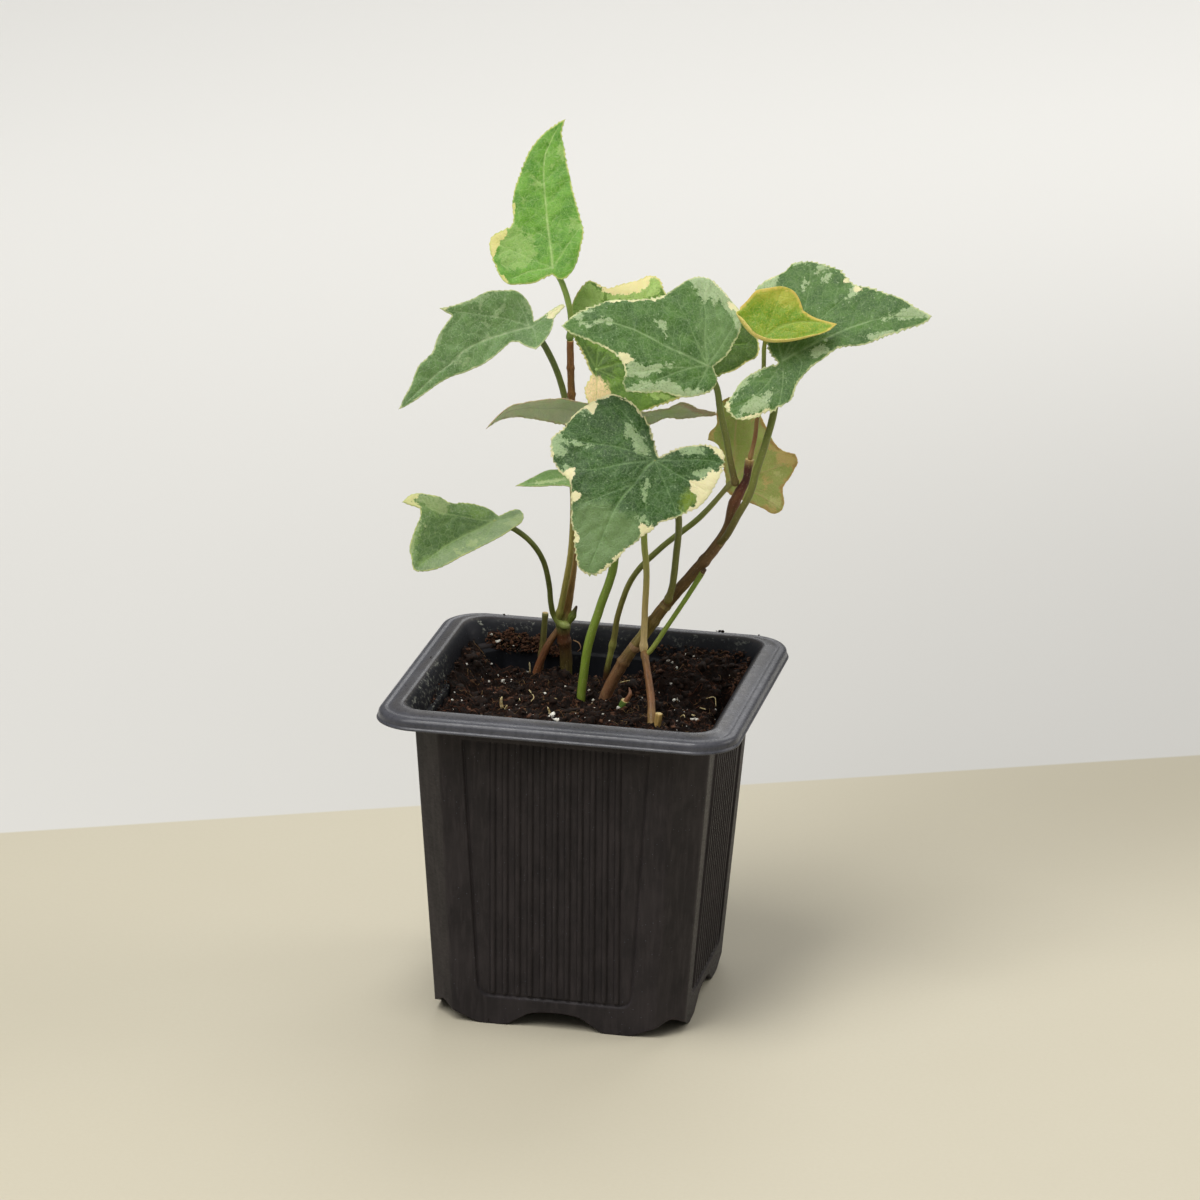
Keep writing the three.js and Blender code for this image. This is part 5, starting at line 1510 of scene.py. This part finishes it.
def stems(wood):
    """The woody stems with their stubs, bud and joint rings."""
    b = Build()
    main = [(-11, 29, 71.5, 1.6), (-11, 28, 78.5, 1.5), (-11.5, 27, 83, 1.6), (-11.5, 27, 86, 2),
        (-10.5, 26.5, 90, 1.1), (-8.5, 25, 106.5, 0.9), (-8, 24, 119.5, 0.9), (-8.5, 23, 132.5, 0.9),
        (-9.5, 22, 145.5, 0.9), (-10, 21, 161, 0.9)]
    tube(
        b, below(main), "5a3a22 66602a 5f4a26 6e4028 8f9c4c a07c48 b4925a ae8c54 a27c48 986c3c 8c5c32",
        1.0, nodes=[(0.19, 0.18, 0.8), (0.86, 0.3, 0.5), (0.93, 0.26, 0.5), (0.62, 0.12, 0.7)],
        lumps=0.09, end="cut",
    )
    tube(
        b, below([(-18, 26, 72.5, 1), (-15.5, 26, 79.5, 0.9), (-12, 26.8, 85.5, 0.8)]),
        "5a3420 83502f 8a5a38 8a6a40", 2.0, lumps=0.08,
    )
    tube(
        b, [(-10.5, 26.7, 85.5, 0.5), (-9, 26, 88.5, 0.9), (-8, 25.8, 91, 0.3)], "8f9a48 879a42 3a1c18",
        3.0, nodes=[(0.5, 0.25, 1.2)],
    )
    tube(
        b,
        [(-8.9, 27.2, 81.6, 0.16), (-7.4, 27, 81, 0.12), (-6.9, 26.6, 79.8, 0.1), (-7.6, 26.4, 79, 0.08)],
        "a37a55 b08a62 a37a55 8a5a3a", 3.5, sides=8, step=0.25,
    )
    b.piece("left_stem_bark", [wood], "left_stem", "woody_stem")
    b = Build()
    tube(
        b, below([(-18, 30.5, 72, 0.9), (-17.4, 31, 80.5, 0.8), (-17, 31, 87, 0.7)]),
        "55351f 6a4528 6f6c34 7d8040", 4.0, nodes=[(0.97, 0.25, 0.7), (0.55, 0.14, 0.6)], lumps=0.1,
        end="cut",
    )
    b.piece("left_stub_bark", [wood], "left_stub", "woody_stem")
    b = Build()
    right = [(2.5, 11, 72, 1.5), (7, 10, 82, 1.5), (12.5, 9.5, 90.5, 1.5), (16.9, 9, 97.3, 1.45),
        (23.3, 8, 105.9, 1.4), (29.8, 7, 114.5, 1.4), (33.3, 6.5, 120.5, 1.3), (34.5, 6, 126, 1.3),
        (36, 6, 130, 1.3), (37.5, 6, 133, 0.95), (38, 6, 136.5, 1), (38.3, 6, 138.5, 1.15)]
    tube(
        b, below(right),
        "5a3820 80583c 8c6642 95884a 8c7040 7c5e38 785a36 806236 784e30 743e2c 4e211d 5a2620 b3955c", 5.0,
        nodes=[(0.245, 0.2, 0.55), (0.405, 0.16, 0.55), (0.655, 0.14, 0.8), (0.86, 0.12, 0.9)],
        lumps=0.07, end="cut",
    )
    tube(b, [(10.0, 9.6, 86.6, 1.62), (10.5, 9.6, 87.3, 1.62)], "b08c66 a8845e", 5.5, step=0.3)
    tube(b, [(17.6, 8.9, 98.2, 1.56), (18.0, 8.85, 98.8, 1.56)], "b9a468 9a8450", 5.6, step=0.3)
    tube(
        b, [(31.6, 5.9, 116.2, 0.5), (32.3, 5.6, 117.6, 0.62), (32.9, 5.5, 118.9, 0.4)],
        "9a8a50 bfae70 8a7445", 5.7, step=0.3,
    )
    b.piece("right_stem_bark", [wood], "right_stem", "woody_stem")
    b = Build()
    tube(
        b, below([(18, -7, 73, 1.05), (17, -3, 77.5, 0.95), (15, 2, 83, 0.88), (13.4, 5.4, 87, 0.9)]),
        "6e4a2a 866a38 8e603a 94643a a47c4a", 6.0, nodes=[(0.97, 0.22, 0.45), (0.42, 0.1, 0.5)],
        lumps=0.1,
    )
    tube(
        b, below([(19.2, -7.6, 70, 0.9), (19.9, -7.6, 76, 0.9)], 6), "6a4c2a a8854a c0a05c", 6.4,
        end="cut", lumps=0.1, ridge=0.05,
    )
    b.piece("front_stem_bark", [wood], "front_stem", "woody_stem")


def green_stems(rng, green):
    """The cut petiole at the right stem's node and the stump in the soil."""
    b = Build()
    made = tube(
        b,
        [(13.7, 5.4, 86.4, 0.65), (15.1, 5.1, 87.9, 0.6), (18.5, 5.6, 93.5, 0.6), (23, 5.6, 101, 0.6),
            (27.5, 5, 109, 0.7)],
        "b4b85e acb656 a0b84e 92ae42 88a03c", 7.0, end="cut",
    )
    tube(b, [(27.3, 5.0, 108.6, 0.66), (28.1, 4.9, 109.9, 0.5)], "6a4a2c 4a2e1c", 7.3, step=0.3)
    hairs(b, made, rng, 60, 0.3, 0, "b9c98a")
    b.piece("cut_petiole_green", [green], "cut_petiole", "green_stem")
    b = Build()
    tube(
        b, below([(8, 5, 71.5, 1.3), (9, 4.5, 74.5, 1)]), "4a3018 4f7a2a 5d7a30", 8.0, lumps=0.2,
        end="cut",
    )
    tube(
        b, [(9.2, 4.6, 74.2, 0.7), (10.2, 4.8, 76.2, 0.5), (9.8, 5.4, 77.6, 0.15)],
        "8a5a3a 9a6a48 7a4a30", 8.2, lumps=0.3, step=0.3,
    )
    b.piece("soil_stump_green", [green], "soil_stump", "green_stem")


# Each petiole: its path up to the blade as (x, y, z, radius), and its colours, with one more for its end
# at the blade, and one more before them for the foot of a rooted one.
PETIOLES = {
    "leaf_top": (
        [(-10.1, 21.2, 161.5, 0.75), (-10.2, 22, 167.5, 0.75), (-12.4, 21.4, 175.5, 0.75)],
        "6f8a3c 88a24a 93b25a 9cc06a",
    ),
    "leaf_left": (
        [(-12.4, 25, 87.9, 0.8), (-10.3, 22.7, 97.5, 0.8), (-8.7, 21, 107, 0.8), (-8.2, 20, 120.5, 0.8),
            (-9.5, 19.6, 136, 0.8), (-10.5, 18.7, 146.5, 0.8), (-12.5, 17, 154.5, 0.8),
            (-15.5, 15, 161.5, 0.8)],
        "a8a858 aaa054 a89c52 a09a4e 88904a 6f7a38 667434 66783a 7d9458",
    ),
    "leaf_centre": (
        [(35, 5.5, 132.2, 0.8), (33.5, 5, 139, 0.8), (32.5, 5, 144, 0.8), (31, 4.5, 150.5, 0.8),
            (30, 4, 156.5, 0.8)],
        "7a6a3a 74763a 787f3e 7c8742 788a46 7f9a5c",
    ),
    "leaf_right": (
        [(30.9, 6.8, 116.2, 0.7), (32.9, 5.1, 118.4, 0.9), (36, 3.4, 124.5, 0.9), (39, 2.9, 130.5, 0.9),
            (40.5, 3.4, 136.5, 0.9), (42.5, 4.3, 144, 0.9), (43.8, 5.4, 150, 0.9), (44.8, 6, 158, 0.9)],
        "6a5c30 6a602e 6c682e 727634 768038 748038 75843c 748640 7f985a",
    ),
    "leaf_lower_left": (
        [(-10.2, 25, 85.9, 0.9), (-12, 24.9, 86.6, 0.85), (-13.5, 24.6, 88.6, 0.75),
            (-14, 23.2, 92, 0.7), (-14.3, 21.8, 97.5, 0.7), (-15.5, 20, 104, 0.7), (-18, 17, 109.5, 0.7),
            (-22, 14.5, 113.5, 0.7)],
        "aab868 a4b25a 8a9448 7c8442 666d30 6a7234 727d3c 7f8c46 8c9e58",
    ),
    "leaf_front": (
        [(18.8, 6, 100.6, 0.85), (20, 5.2, 104.5, 0.85), (21, 4, 112.5, 0.85), (22, 1, 123.5, 0.85),
            (20.5, -2, 133, 0.85)],
        "8c8444 80823e 7c8240 788040 7c8644 86984f",
    ),
    "leaf_back": (
        [(-3, 8.5, 71, 1.1), (-2.5, 9, 78.5, 1.1), (-1.5, 10, 87, 1.1), (1, 12, 96.5, 1.1),
            (3.5, 14, 106, 1.1), (2.5, 19.5, 122, 1.1), (-0.5, 23.5, 138.5, 1.1), (-2.5, 24, 148, 1.1)],
        "5c6a20 74882c 7c9430 80982f 7c9430 789230 769030 769034 80a446 8cae58",
    ),
    "leaf_young": (
        [(38.4, 6, 138.9, 0.55), (39.3, 7, 144, 0.55), (39.5, 8, 148.5, 0.55), (40.5, 7.8, 155, 0.55),
            (41, 6.5, 162, 0.55), (41.3, 4.5, 167, 0.55)],
        "a08050 8a5c3a 8a6a3c 7f7a3c 7f8a40 8a9a44 a0a848",
    ),
    "leaf_edge_on": (
        [(13.1, 5.9, 87.4, 0.85), (13, 7, 97.5, 0.8), (13, 8, 107, 0.8), (12, 9, 115.5, 0.8),
            (12, 10.5, 130, 0.8)],
        "f0d498 dcc47e c4bc6c b0c05e a6be56 98aa54",
    ),
    "leaf_back_right": (
        [(-1, 31, 72.5, 0.75), (0, 30.5, 77.5, 0.75), (1, 30, 82.5, 0.75), (2, 29, 88.5, 0.75),
            (6, 27, 99.5, 0.75), (13.5, 25, 108.5, 0.75), (23.5, 22, 118, 0.75)],
        "3f2815 4d3118 a2a852 9a9450 948e4c 8e924a 8a9650 8a9650 9a9a5c",
    ),
    "leaf_small": (
        [(-7.2, 22.8, 113, 0.55), (-4, 18, 119.5, 0.55), (-1.2, 13.5, 126, 0.55)],
        "7a7a3c 7d8a44 84984c 8fa85c",
    ),
}
# Looks whose petioles have hairs, and leaves whose petioles stand in the soil.
HAIRY = ("bright", "back", "light", "young")
ROOTED = ("leaf_back", "leaf_back_right")
# How far behind the blade's middle surface a petiole ends, and how thick it is there against its foot.
END_BEHIND, END_SHARE = 0.5, 0.8
PETIOLE_HAIRS, HAIR_LENGTH = 110, 0.26


def plant():
    rng = random.Random(11)
    wood, green = stem_material("bark", 0.6, 0.55), stem_material("green_stem", 0.28, 0.45)
    stems(wood)
    green_stems(rng, green)
    for k, (name, leaf) in enumerate(LEAVES.items()):
        seed = 3.7 + 5.3 * k
        b = Build()
        surface = blade(leaf, b, rng, seed)
        path, colors = PETIOLES[name]
        end = surface(*np.array(leaf.get("joined", (0.0, 0.0)))[:, None])[0] - surface.face * END_BEHIND
        start = below(path) if name in ROOTED else path
        path = start + [tuple(end) + (path[0][3] * END_SHARE,)]
        foot_node = (0.22, 0.35, 1.0) if name == "leaf_back_right" else (0.02, 0.3, 0.8)
        made = tube(b, path, colors, seed, mat=1, nodes=[foot_node, (0.98, 0.16, 1.2)])
        if leaf["look"] in HAIRY:
            hairs(b, made, rng, PETIOLE_HAIRS, HAIR_LENGTH, 1, "c3cf9a")
        face = leaf_material(name, LOOKS[leaf["look"]], leaf.get("pale_share", 0.95))
        b.piece(name + "_blade", [face, green], name, name)


# ---- soil ---------------------------------------------------------------------------------------
SOIL_HALF, SOIL_CUT, SOIL_CEILING, SOIL_LEVEL = 34.75, 7.1, 79.4, 72
WALL_AT_LEDGE = 36.3
# Squares of the surface's grid each way, and the heights of the rings down its sides.
SOIL_GRID, SOIL_RINGS, SOIL_ROOM = 190, (66, 35, 9.3), 0.3
ROUGHNESS = ((0.2, 1.3), (0.45, 1.1), (1.0, 0.7), (2.2, 0.35))


def soil_top(x, y):
    """The rough height of the soil: heaped at the right back, banked up the left wall, sunk behind."""
    heap = 6.0 * smooth(4, 18, x) * smooth(8, 28, y)
    bank = 5.6 * smooth(-28.5, -34.6, x) * (0.25 + 0.75 * smooth(-8, 17, y))
    dip = -4.2 * smooth(27, 33, y) * smooth(-34, -30, x) * smooth(9, 2, x)
    lumps = 0.5 * np.sin(0.62 * x + 0.9) * np.cos(0.55 * y) + 0.45 * np.sin(1.1 * x - 0.8 * y)
    hollow = -6.5 * smooth(29.5, 33, x) * smooth(-4, 6, y) * smooth(24, 15, y)
    mound = 1.6 * np.exp(-(((x + 12) / 6) ** 2) - ((y - 25) / 5) ** 2)
    mound += 1.2 * np.exp(-(((x - 8) / 6) ** 2) - ((y - 4) / 6) ** 2)
    return SOIL_LEVEL + heap + bank + dip + lumps + hollow + mound


def soil_height(x, y):
    rough = 0.0
    for scale, amount in ROUGHNESS:
        rough += amount * wave(x * scale, y * scale, scale * 7)
    ridge = 0.5 - abs(wave(x * 0.8, y * 0.8, 31.0))
    return min(SOIL_CEILING, float(soil_top(x, y)) + rough + 0.8 * ridge - 0.2)


def corner_pulled(x, y):
    over = max(0.0, abs(x) + abs(y) - (2 * SOIL_HALF - SOIL_CUT))
    return x - math.copysign(over / 2, x), y - math.copysign(over / 2, y)


def soil_spot(x, y):
    """A point of the soil's surface, pushed out to the wall where it lies above the inner ledge."""
    x, y = corner_pulled(x, y)
    z = soil_height(x, y)
    reach = max(abs(x), abs(y)) / SOIL_HALF
    push = 1 + (WALL_AT_LEDGE / SOIL_HALF - 1) * smooth(75.2, 76.4, z) * smooth(0.9, 1.0, reach)
    return x * push, y * push, z


def soil_material():
    s = Shader("peat", Roughness=0.92, Specular_IOR_Level=0.2)
    at = s.place()
    big = s.noise(at, 0.35, 5, 0.65)
    color = s.mix(s.ramp(big, 0.35, 0.7), "0c0604", "20120a")
    color = s.mix(s.ramp(s.noise(at, 1.3, 5, 0.72), 0.52, 0.7, 0, 0.8), color, "3f2616")
    threads = s.noise(s.stretch(at, (1, 0.35, 1)), 3.2, 4, 0.7)
    color = s.mix(s.ramp(threads, 0.58, 0.7, 0, 0.7), color, "573320")
    color = s.mix(s.ramp(s.cells(at, 0.8), 0.2, 0.05, 0, 0.7), color, "050302")
    height = s.plus(s.noise(at, 1.6, 6, 0.75), s.times(s.noise(at, 5, 3, 0.7), 0.6))
    return s.finish(color, s.ramp(big, 0.3, 0.7, 0.8, 0.97), s.bump(height, 1.0, 0.6))


def loose_material(name, first, second, rough, scale=1.5, bump=0.4):
    """A clouded material between two colours for what lies on the soil."""
    s = Shader(name, Roughness=rough, Specular_IOR_Level=0.3)
    at = s.place()
    color = s.mix(s.ramp(s.noise(at, scale, 5, 0.65), 0.35, 0.68), first, second)
    rough = s.ramp(s.noise(at, scale * 2, 3), 0.3, 0.7, rough - 0.08, rough + 0.06)
    return s.finish(color, rough, s.bump(s.noise(at, scale * 3, 4, 0.7), bump, 0.2))


def ball(subdivisions):
    bm = bmesh.new()
    bmesh.ops.create_icosphere(bm, subdivisions=subdivisions, radius=1.0)
    points = [v.co.normalized() for v in bm.verts]
    faces = [tuple(v.index for v in f.verts) for f in bm.faces]
    bm.free()
    return points, faces


def lumps(count, rng, subdivisions, rough, flat=(0.5, 0.9)):
    """Unit lumps of irregular shape, each as its points and faces."""
    directions, faces = ball(subdivisions)
    made = []
    for k in range(count):
        scale = np.array((rng.uniform(0.7, 1.3), rng.uniform(0.5, 1.0), rng.uniform(*flat)))
        points = []
        for d in directions:
            r = 1 + rough * noise.noise(d * 1.6 + Vector((k * 3.1, 0, 0)))
            r += rough * 0.6 * noise.noise(d * 4 + Vector((0, k, 0)))
            points.append(np.array(d * r) * scale)
        made.append((np.array(points), faces))
    return made


def turned(points, rng):
    turn = Matrix.Rotation(rng.uniform(0, 6.28), 3, "Z") @ Matrix.Rotation(rng.uniform(0, 6.28), 3, "X")
    return points @ np.array(turn).T


def drop(build, rng, shapes, size, spot, mat=0):
    """One of some lumps, turned at random, with its middle at a spot."""
    shape, faces = rng.choice(shapes)
    build.add(turned(shape, rng) * size + spot, faces, mat)


# Perlite grains as (x, y, size), and those on the heap at the back wall as (x, z, size).
PERLITE = [
    (-31.7, 30.2, 0.5), (-24.6, 16.7, 0.8), (-7.4, -5, 0.85), (1.2, 4.7, 0.45), (-33.2, -2.8, 0.5),
    (7.7, 2.6, 0.7), (15.5, 26.8, 0.5), (18.1, 24.4, 0.5), (19.9, 12, 0.7), (28.5, -2.5, 0.7),
    (-33.4, 14.5, 0.45), (-31.1, -0.8, 0.4), (-27.7, 14.6, 0.45), (-27.2, 22.6, 0.4), (-22.7, 18.6, 0.4),
    (-5.5, -8.2, 0.8), (-2.4, 16.1, 0.35), (-0.1, 9.9, 0.4), (5.2, -4.2, 0.4), (11.6, 13.5, 0.35),
    (16.4, 27.5, 0.45), (18.1, 17.6, 0.5), (20.7, 13, 0.45), (26.9, 0.7, 0.6), (19.3, 31.2, 0.4),
    (21, 32, 0.35), (22.4, 30.3, 0.45), (30.4, 12.8, 0.35), (-28.6, 4, 0.4), (-33.5, 0.7, 0.4),
    (-24.6, -8.4, 0.35), (8.8, 8.7, 0.45), (-29.8, 27, 0.4), (-20.8, 30.6, 0.7), (-21.8, 29.9, 0.8),
    (-19.9, 30.2, 0.6), (-21.2, 31.1, 0.6), (-22.6, 30.7, 0.5), (20.6, 13.6, 0.5), (20.2, 12.6, 0.4),
    (27.6, 0.2, 0.45), (-7.9, -5.7, 0.5), (-6.9, -5.9, 0.45), (-12.5, 10.8, 0.45), (-9, 18.5, 0.35),
    (3, -12, 0.4), (-15, -14, 0.4), (14, -16, 0.45), (24, -18, 0.4), (-28, -20, 0.45), (-5, -24, 0.4),
    (9, -28, 0.45), (20, -9, 0.4), (-20, -28, 0.4), (30, -27, 0.4),
]
PERLITE_HEAP = [
    (-29.8, 77.2, 0.8), (-36.2, 78.1, 0.5), (-35.4, 77.0, 0.45), (-25.8, 76.4, 0.35), (-20.9, 75.6, 0.45),
    (-31.5, 78.9, 0.35),
]
# Straws: (x, y) points, how far the last stands above the first, and the half width.
STRAWS = [
    ([(-20.4, -3.2), (-20.7, -3.4), (-20.4, -3.7)], 3.2, 0.44),
    ([(-19.6, -3.4), (-19.2, -4), (-18.9, -4.4)], 1.2, 0.3),
    ([(-18.1, 9.2), (-17.8, 5), (-17, 2)], 0.9, 0.12),
    ([(-16.9, 12.3), (-14.8, 8), (-14.2, 1.8)], 0.7, 0.13),
    ([(-10.3, 13.4), (-10.4, 8), (-7.7, 2.1)], 0.9, 0.12),
    ([(-20.4, 29), (-20.2, 28.6), (-20.3, 28.2)], 3.6, 0.26),
    ([(27.7, 13.4), (29.8, 14), (30.5, 12.5)], 0.8, 0.13),
    ([(26.7, 11.4), (27.6, 10.9), (28.5, 10.1)], 0.9, 0.16),
    ([(26.2, 2.6), (27.4, 0), (27.9, -2.8)], 1.4, 0.2),
    ([(23.2, 2.2), (24.4, 1.4), (25, 0.2)], 0.7, 0.16),
    ([(3.9, 23.9), (6.6, 22.4), (8.3, 17.2)], 0.6, 0.14),
    ([(-8.6, -3.6), (-8.2, -4.4), (-8.6, -5)], 1.6, 0.3),
]
# Crumbs that fell on the rim, as (x, y, size).
ON_RIM = [
    (26.0, 40.8, 0.5), (26.8, 40.9, 0.45), (25.2, 40.9, 0.32), (36.1, 40.5, 0.24), (-29.5, 40.1, 0.3),
    (-39.7, 1.4, 0.3), (-28.6, 40.4, 0.16), (8.0, 41.0, 0.14), (38.9, -12, 0.16), (-40.6, -22, 0.14),
]
# How many crumbs lie on the soil, on the back ledge, at the left wall and in the other corners, how
# many fibres lie on the soil and on the ledge, and how many grains of perlite dust.
BIG_CRUMBS, SMALL_CRUMBS, LEDGE_CRUMBS, LEFT_CRUMBS, SIDE_CRUMBS = 210, 3000, 760, 260, 420
CRUMB_SIZES = (0.16, 0.22, 0.3, 0.4, 0.55, 0.75)
FIBRES, LEDGE_FIBRES, FIBRE_POINTS = 1000, 230, 4
DUST_GRAINS = 170


def peat():
    """The soil's body, from its surface down inside the pot's walls to the floor."""
    row = SOIL_GRID + 1
    axis = np.linspace(-SOIL_HALF, SOIL_HALF, row)
    points = np.array([soil_spot(x, y) for y in axis for x in axis])
    plan = np.array([corner_pulled(x, y) for y in axis for x in axis])
    faces = []
    for j in range(SOIL_GRID):
        starts = range(j * row, j * row + SOIL_GRID)
        faces += [(i, i + 1, i + row + 1, i + row) for i in starts]
    rim = list(range(SOIL_GRID)) + [j * row + SOIL_GRID for j in range(SOIL_GRID)]
    rim += [SOIL_GRID * row + i for i in range(SOIL_GRID, 0, -1)]
    rim += [j * row for j in range(SOIL_GRID, 0, -1)]
    n = len(rim)
    edge = plan[rim] / SOIL_HALF
    for z in SOIL_RINGS:
        new = at_height(edge * (body_plan(z)[0] - WALL - SOIL_ROOM), z)
        ids = list(range(len(points), len(points) + n))
        points = np.vstack([points, new])
        faces += [(ids[k], ids[(k + 1) % n], rim[(k + 1) % n], rim[k]) for k in range(n)]
        rim = ids
    faces.append(tuple(rim[::-1]))
    build = Build()
    build.add(points, faces)
    build.piece("soil_peat", [soil_material()], "soil", "peat_mix")


def scattered(rng, reach=34.2, corner=62):
    """A random place on the soil away from its cut corners."""
    while True:
        x, y = rng.uniform(-reach, reach), rng.uniform(-reach, reach)
        if abs(x) + abs(y) < corner:
            return x, y


def on_ledge(rng):
    """A random place in the heap that hangs on the ledge of the back wall at the left."""
    x = rng.uniform(-36, -13)
    crest = 75.9 + 4.1 * float(smooth(-13, -19, x)) * (0.8 + 0.5 * wave(x * 0.35, 3.0))
    z = rng.uniform(75.0, crest)
    thick = 2.4 * (1 - (z - 75.0) / 6.5)
    return x, 36.1 + 0.25 * (z - 76) - thick * rng.random() ** 0.7, z


def crumbs(rng, fine, coarse, flakes):
    build = Build()
    for _ in range(BIG_CRUMBS):
        x, y = scattered(rng, 33.4, 60)
        size = rng.uniform(0.9, 1.7)
        drop(build, rng, coarse, size, (x, y, soil_height(x, y) + size * rng.uniform(-0.5, 0.1)))
    for _ in range(SMALL_CRUMBS):
        x, y = scattered(rng)
        size = rng.choice(CRUMB_SIZES) * rng.uniform(0.8, 1.2)
        px, py, z = soil_spot(x, y)
        shapes = rng.choice((coarse if size > 0.55 else fine, flakes))
        spot = (px, py, z + size * rng.uniform(-0.2, 0.5))
        drop(build, rng, shapes, size, spot, rng.choice((0, 0, 0, 1)))
    for _ in range(LEDGE_CRUMBS):
        size = rng.uniform(0.2, 0.75)
        drop(build, rng, rng.choice((fine, flakes)), size, on_ledge(rng), rng.choice((0, 1, 1)))
    for _ in range(LEFT_CRUMBS):
        x, z = -rng.uniform(35.0, 36.6), rng.uniform(73.5, 78.2)
        size = rng.uniform(0.12, 0.4)
        drop(build, rng, fine, size, (x, rng.uniform(-18, 33), z), rng.choice((0, 0, 1)))
    for _ in range(SIDE_CRUMBS):
        along, z = rng.uniform(8, 35), rng.uniform(76.5, 79.6)
        size = rng.uniform(0.18, 0.5)
        if rng.random() < 0.6:
            spot = (along, rng.uniform(34.2, 36.2), z)
        else:
            spot = (rng.uniform(34.4, 36.3), along, z)
        drop(build, rng, rng.choice((fine, flakes)), size, spot, rng.choice((0, 1, 1)))
    for x, y, size in ON_RIM:
        drop(build, rng, fine, size, (x, y, POT_TOP + size * 0.35))
    dark = loose_material("crumb_dark", "0d0704", "2c1a10", 0.92)
    red = loose_material("crumb_red", "352016", "644430", 0.9)
    build.piece("soil_crumbs", [dark, red], "soil", "peat_mix")


def fibres(rng):
    build = Build()
    for _ in range(FIBRES):
        x, y = scattered(rng, 33.5)
        way, size = rng.uniform(0, 6.28), rng.uniform(0.9, 3.6)
        path = []
        for _ in range(FIBRE_POINTS):
            px, py, z = soil_spot(x, y)
            path.append((px, py, z + rng.uniform(0.1, 0.8), 0.035 + 0.04 * rng.random()))
            way += rng.uniform(-0.9, 0.9)
            x, y = x + math.cos(way) * size / 3, y + math.sin(way) * size / 3
            x, y = (float(np.clip(q, -34.2, 34.2)) for q in (x, y))
        slim(build, path, rng.choice((0, 0, 2, 0, 1)))
    for _ in range(LEDGE_FIBRES):
        x, y, z = on_ledge(rng)
        path = []
        for _ in range(FIBRE_POINTS):
            path.append((x, min(y, 36.2 + 0.25 * (z - 76)), z, rng.uniform(0.05, 0.11)))
            x, y, z = x + rng.uniform(-0.7, 0.7), y + rng.uniform(-0.5, 0.4), z + rng.uniform(-0.45, 0.5)
        slim(build, path, rng.choice((0, 2, 2, 1)))
    for straw, rise, width in STRAWS:
        path = []
        for j, (x, y) in enumerate(straw):
            z = soil_height(x, y) + 0.3 + rise * j / (len(straw) - 1)
            path.append((x, y, z, width * (1 - 0.15 * j)))
        slim(build, path, 3, 7)
    looks = [
        ("fibre_red", "3a1f13", "673d27", 0.85), ("fibre_tan", "5c452c", "8f734a", 0.8),
        ("fibre_rust", "4a2a1b", "744a32", 0.85), ("straw", "b3985f", "efe2b2", 0.7),
    ]
    build.piece("soil_fibres", [loose_material(*row) for row in looks], "soil", "peat_mix")


def perlite(rng, fine):
    build = Build()
    shapes = lumps(8, rng, 3, 0.75, (0.6, 1.0))
    for x, y, size in PERLITE:
        drop(build, rng, shapes, size * 0.8, (x, y, soil_height(x, y) + size * 0.4))
    for x, z, size in PERLITE_HEAP:
        drop(build, rng, shapes, size * 0.8, (x, 34.6 - 0.1 * (x < -35), z))
    for _ in range(DUST_GRAINS):
        x, y = scattered(rng, 33.4, 60)
        size = rng.uniform(0.1, 0.24)
        drop(build, rng, fine, size, (x, y, soil_height(x, y) + size * 0.6))
    white = loose_material("perlite", "d6d3c6", "f6f4ec", 0.8, 1.2, 0.6)
    build.piece("soil_perlite", [white], "soil", "peat_mix")


def soil():
    rng = random.Random(5)
    fine, coarse = lumps(10, rng, 1, 0.8), lumps(10, rng, 2, 0.8)
    flakes = lumps(10, rng, 1, 0.7, (0.18, 0.4))
    peat()
    crumbs(rng, fine, coarse, flakes)
    fibres(rng)
    perlite(rng, fine)


camera()
light()
floor()
pot()
soil()
plant()
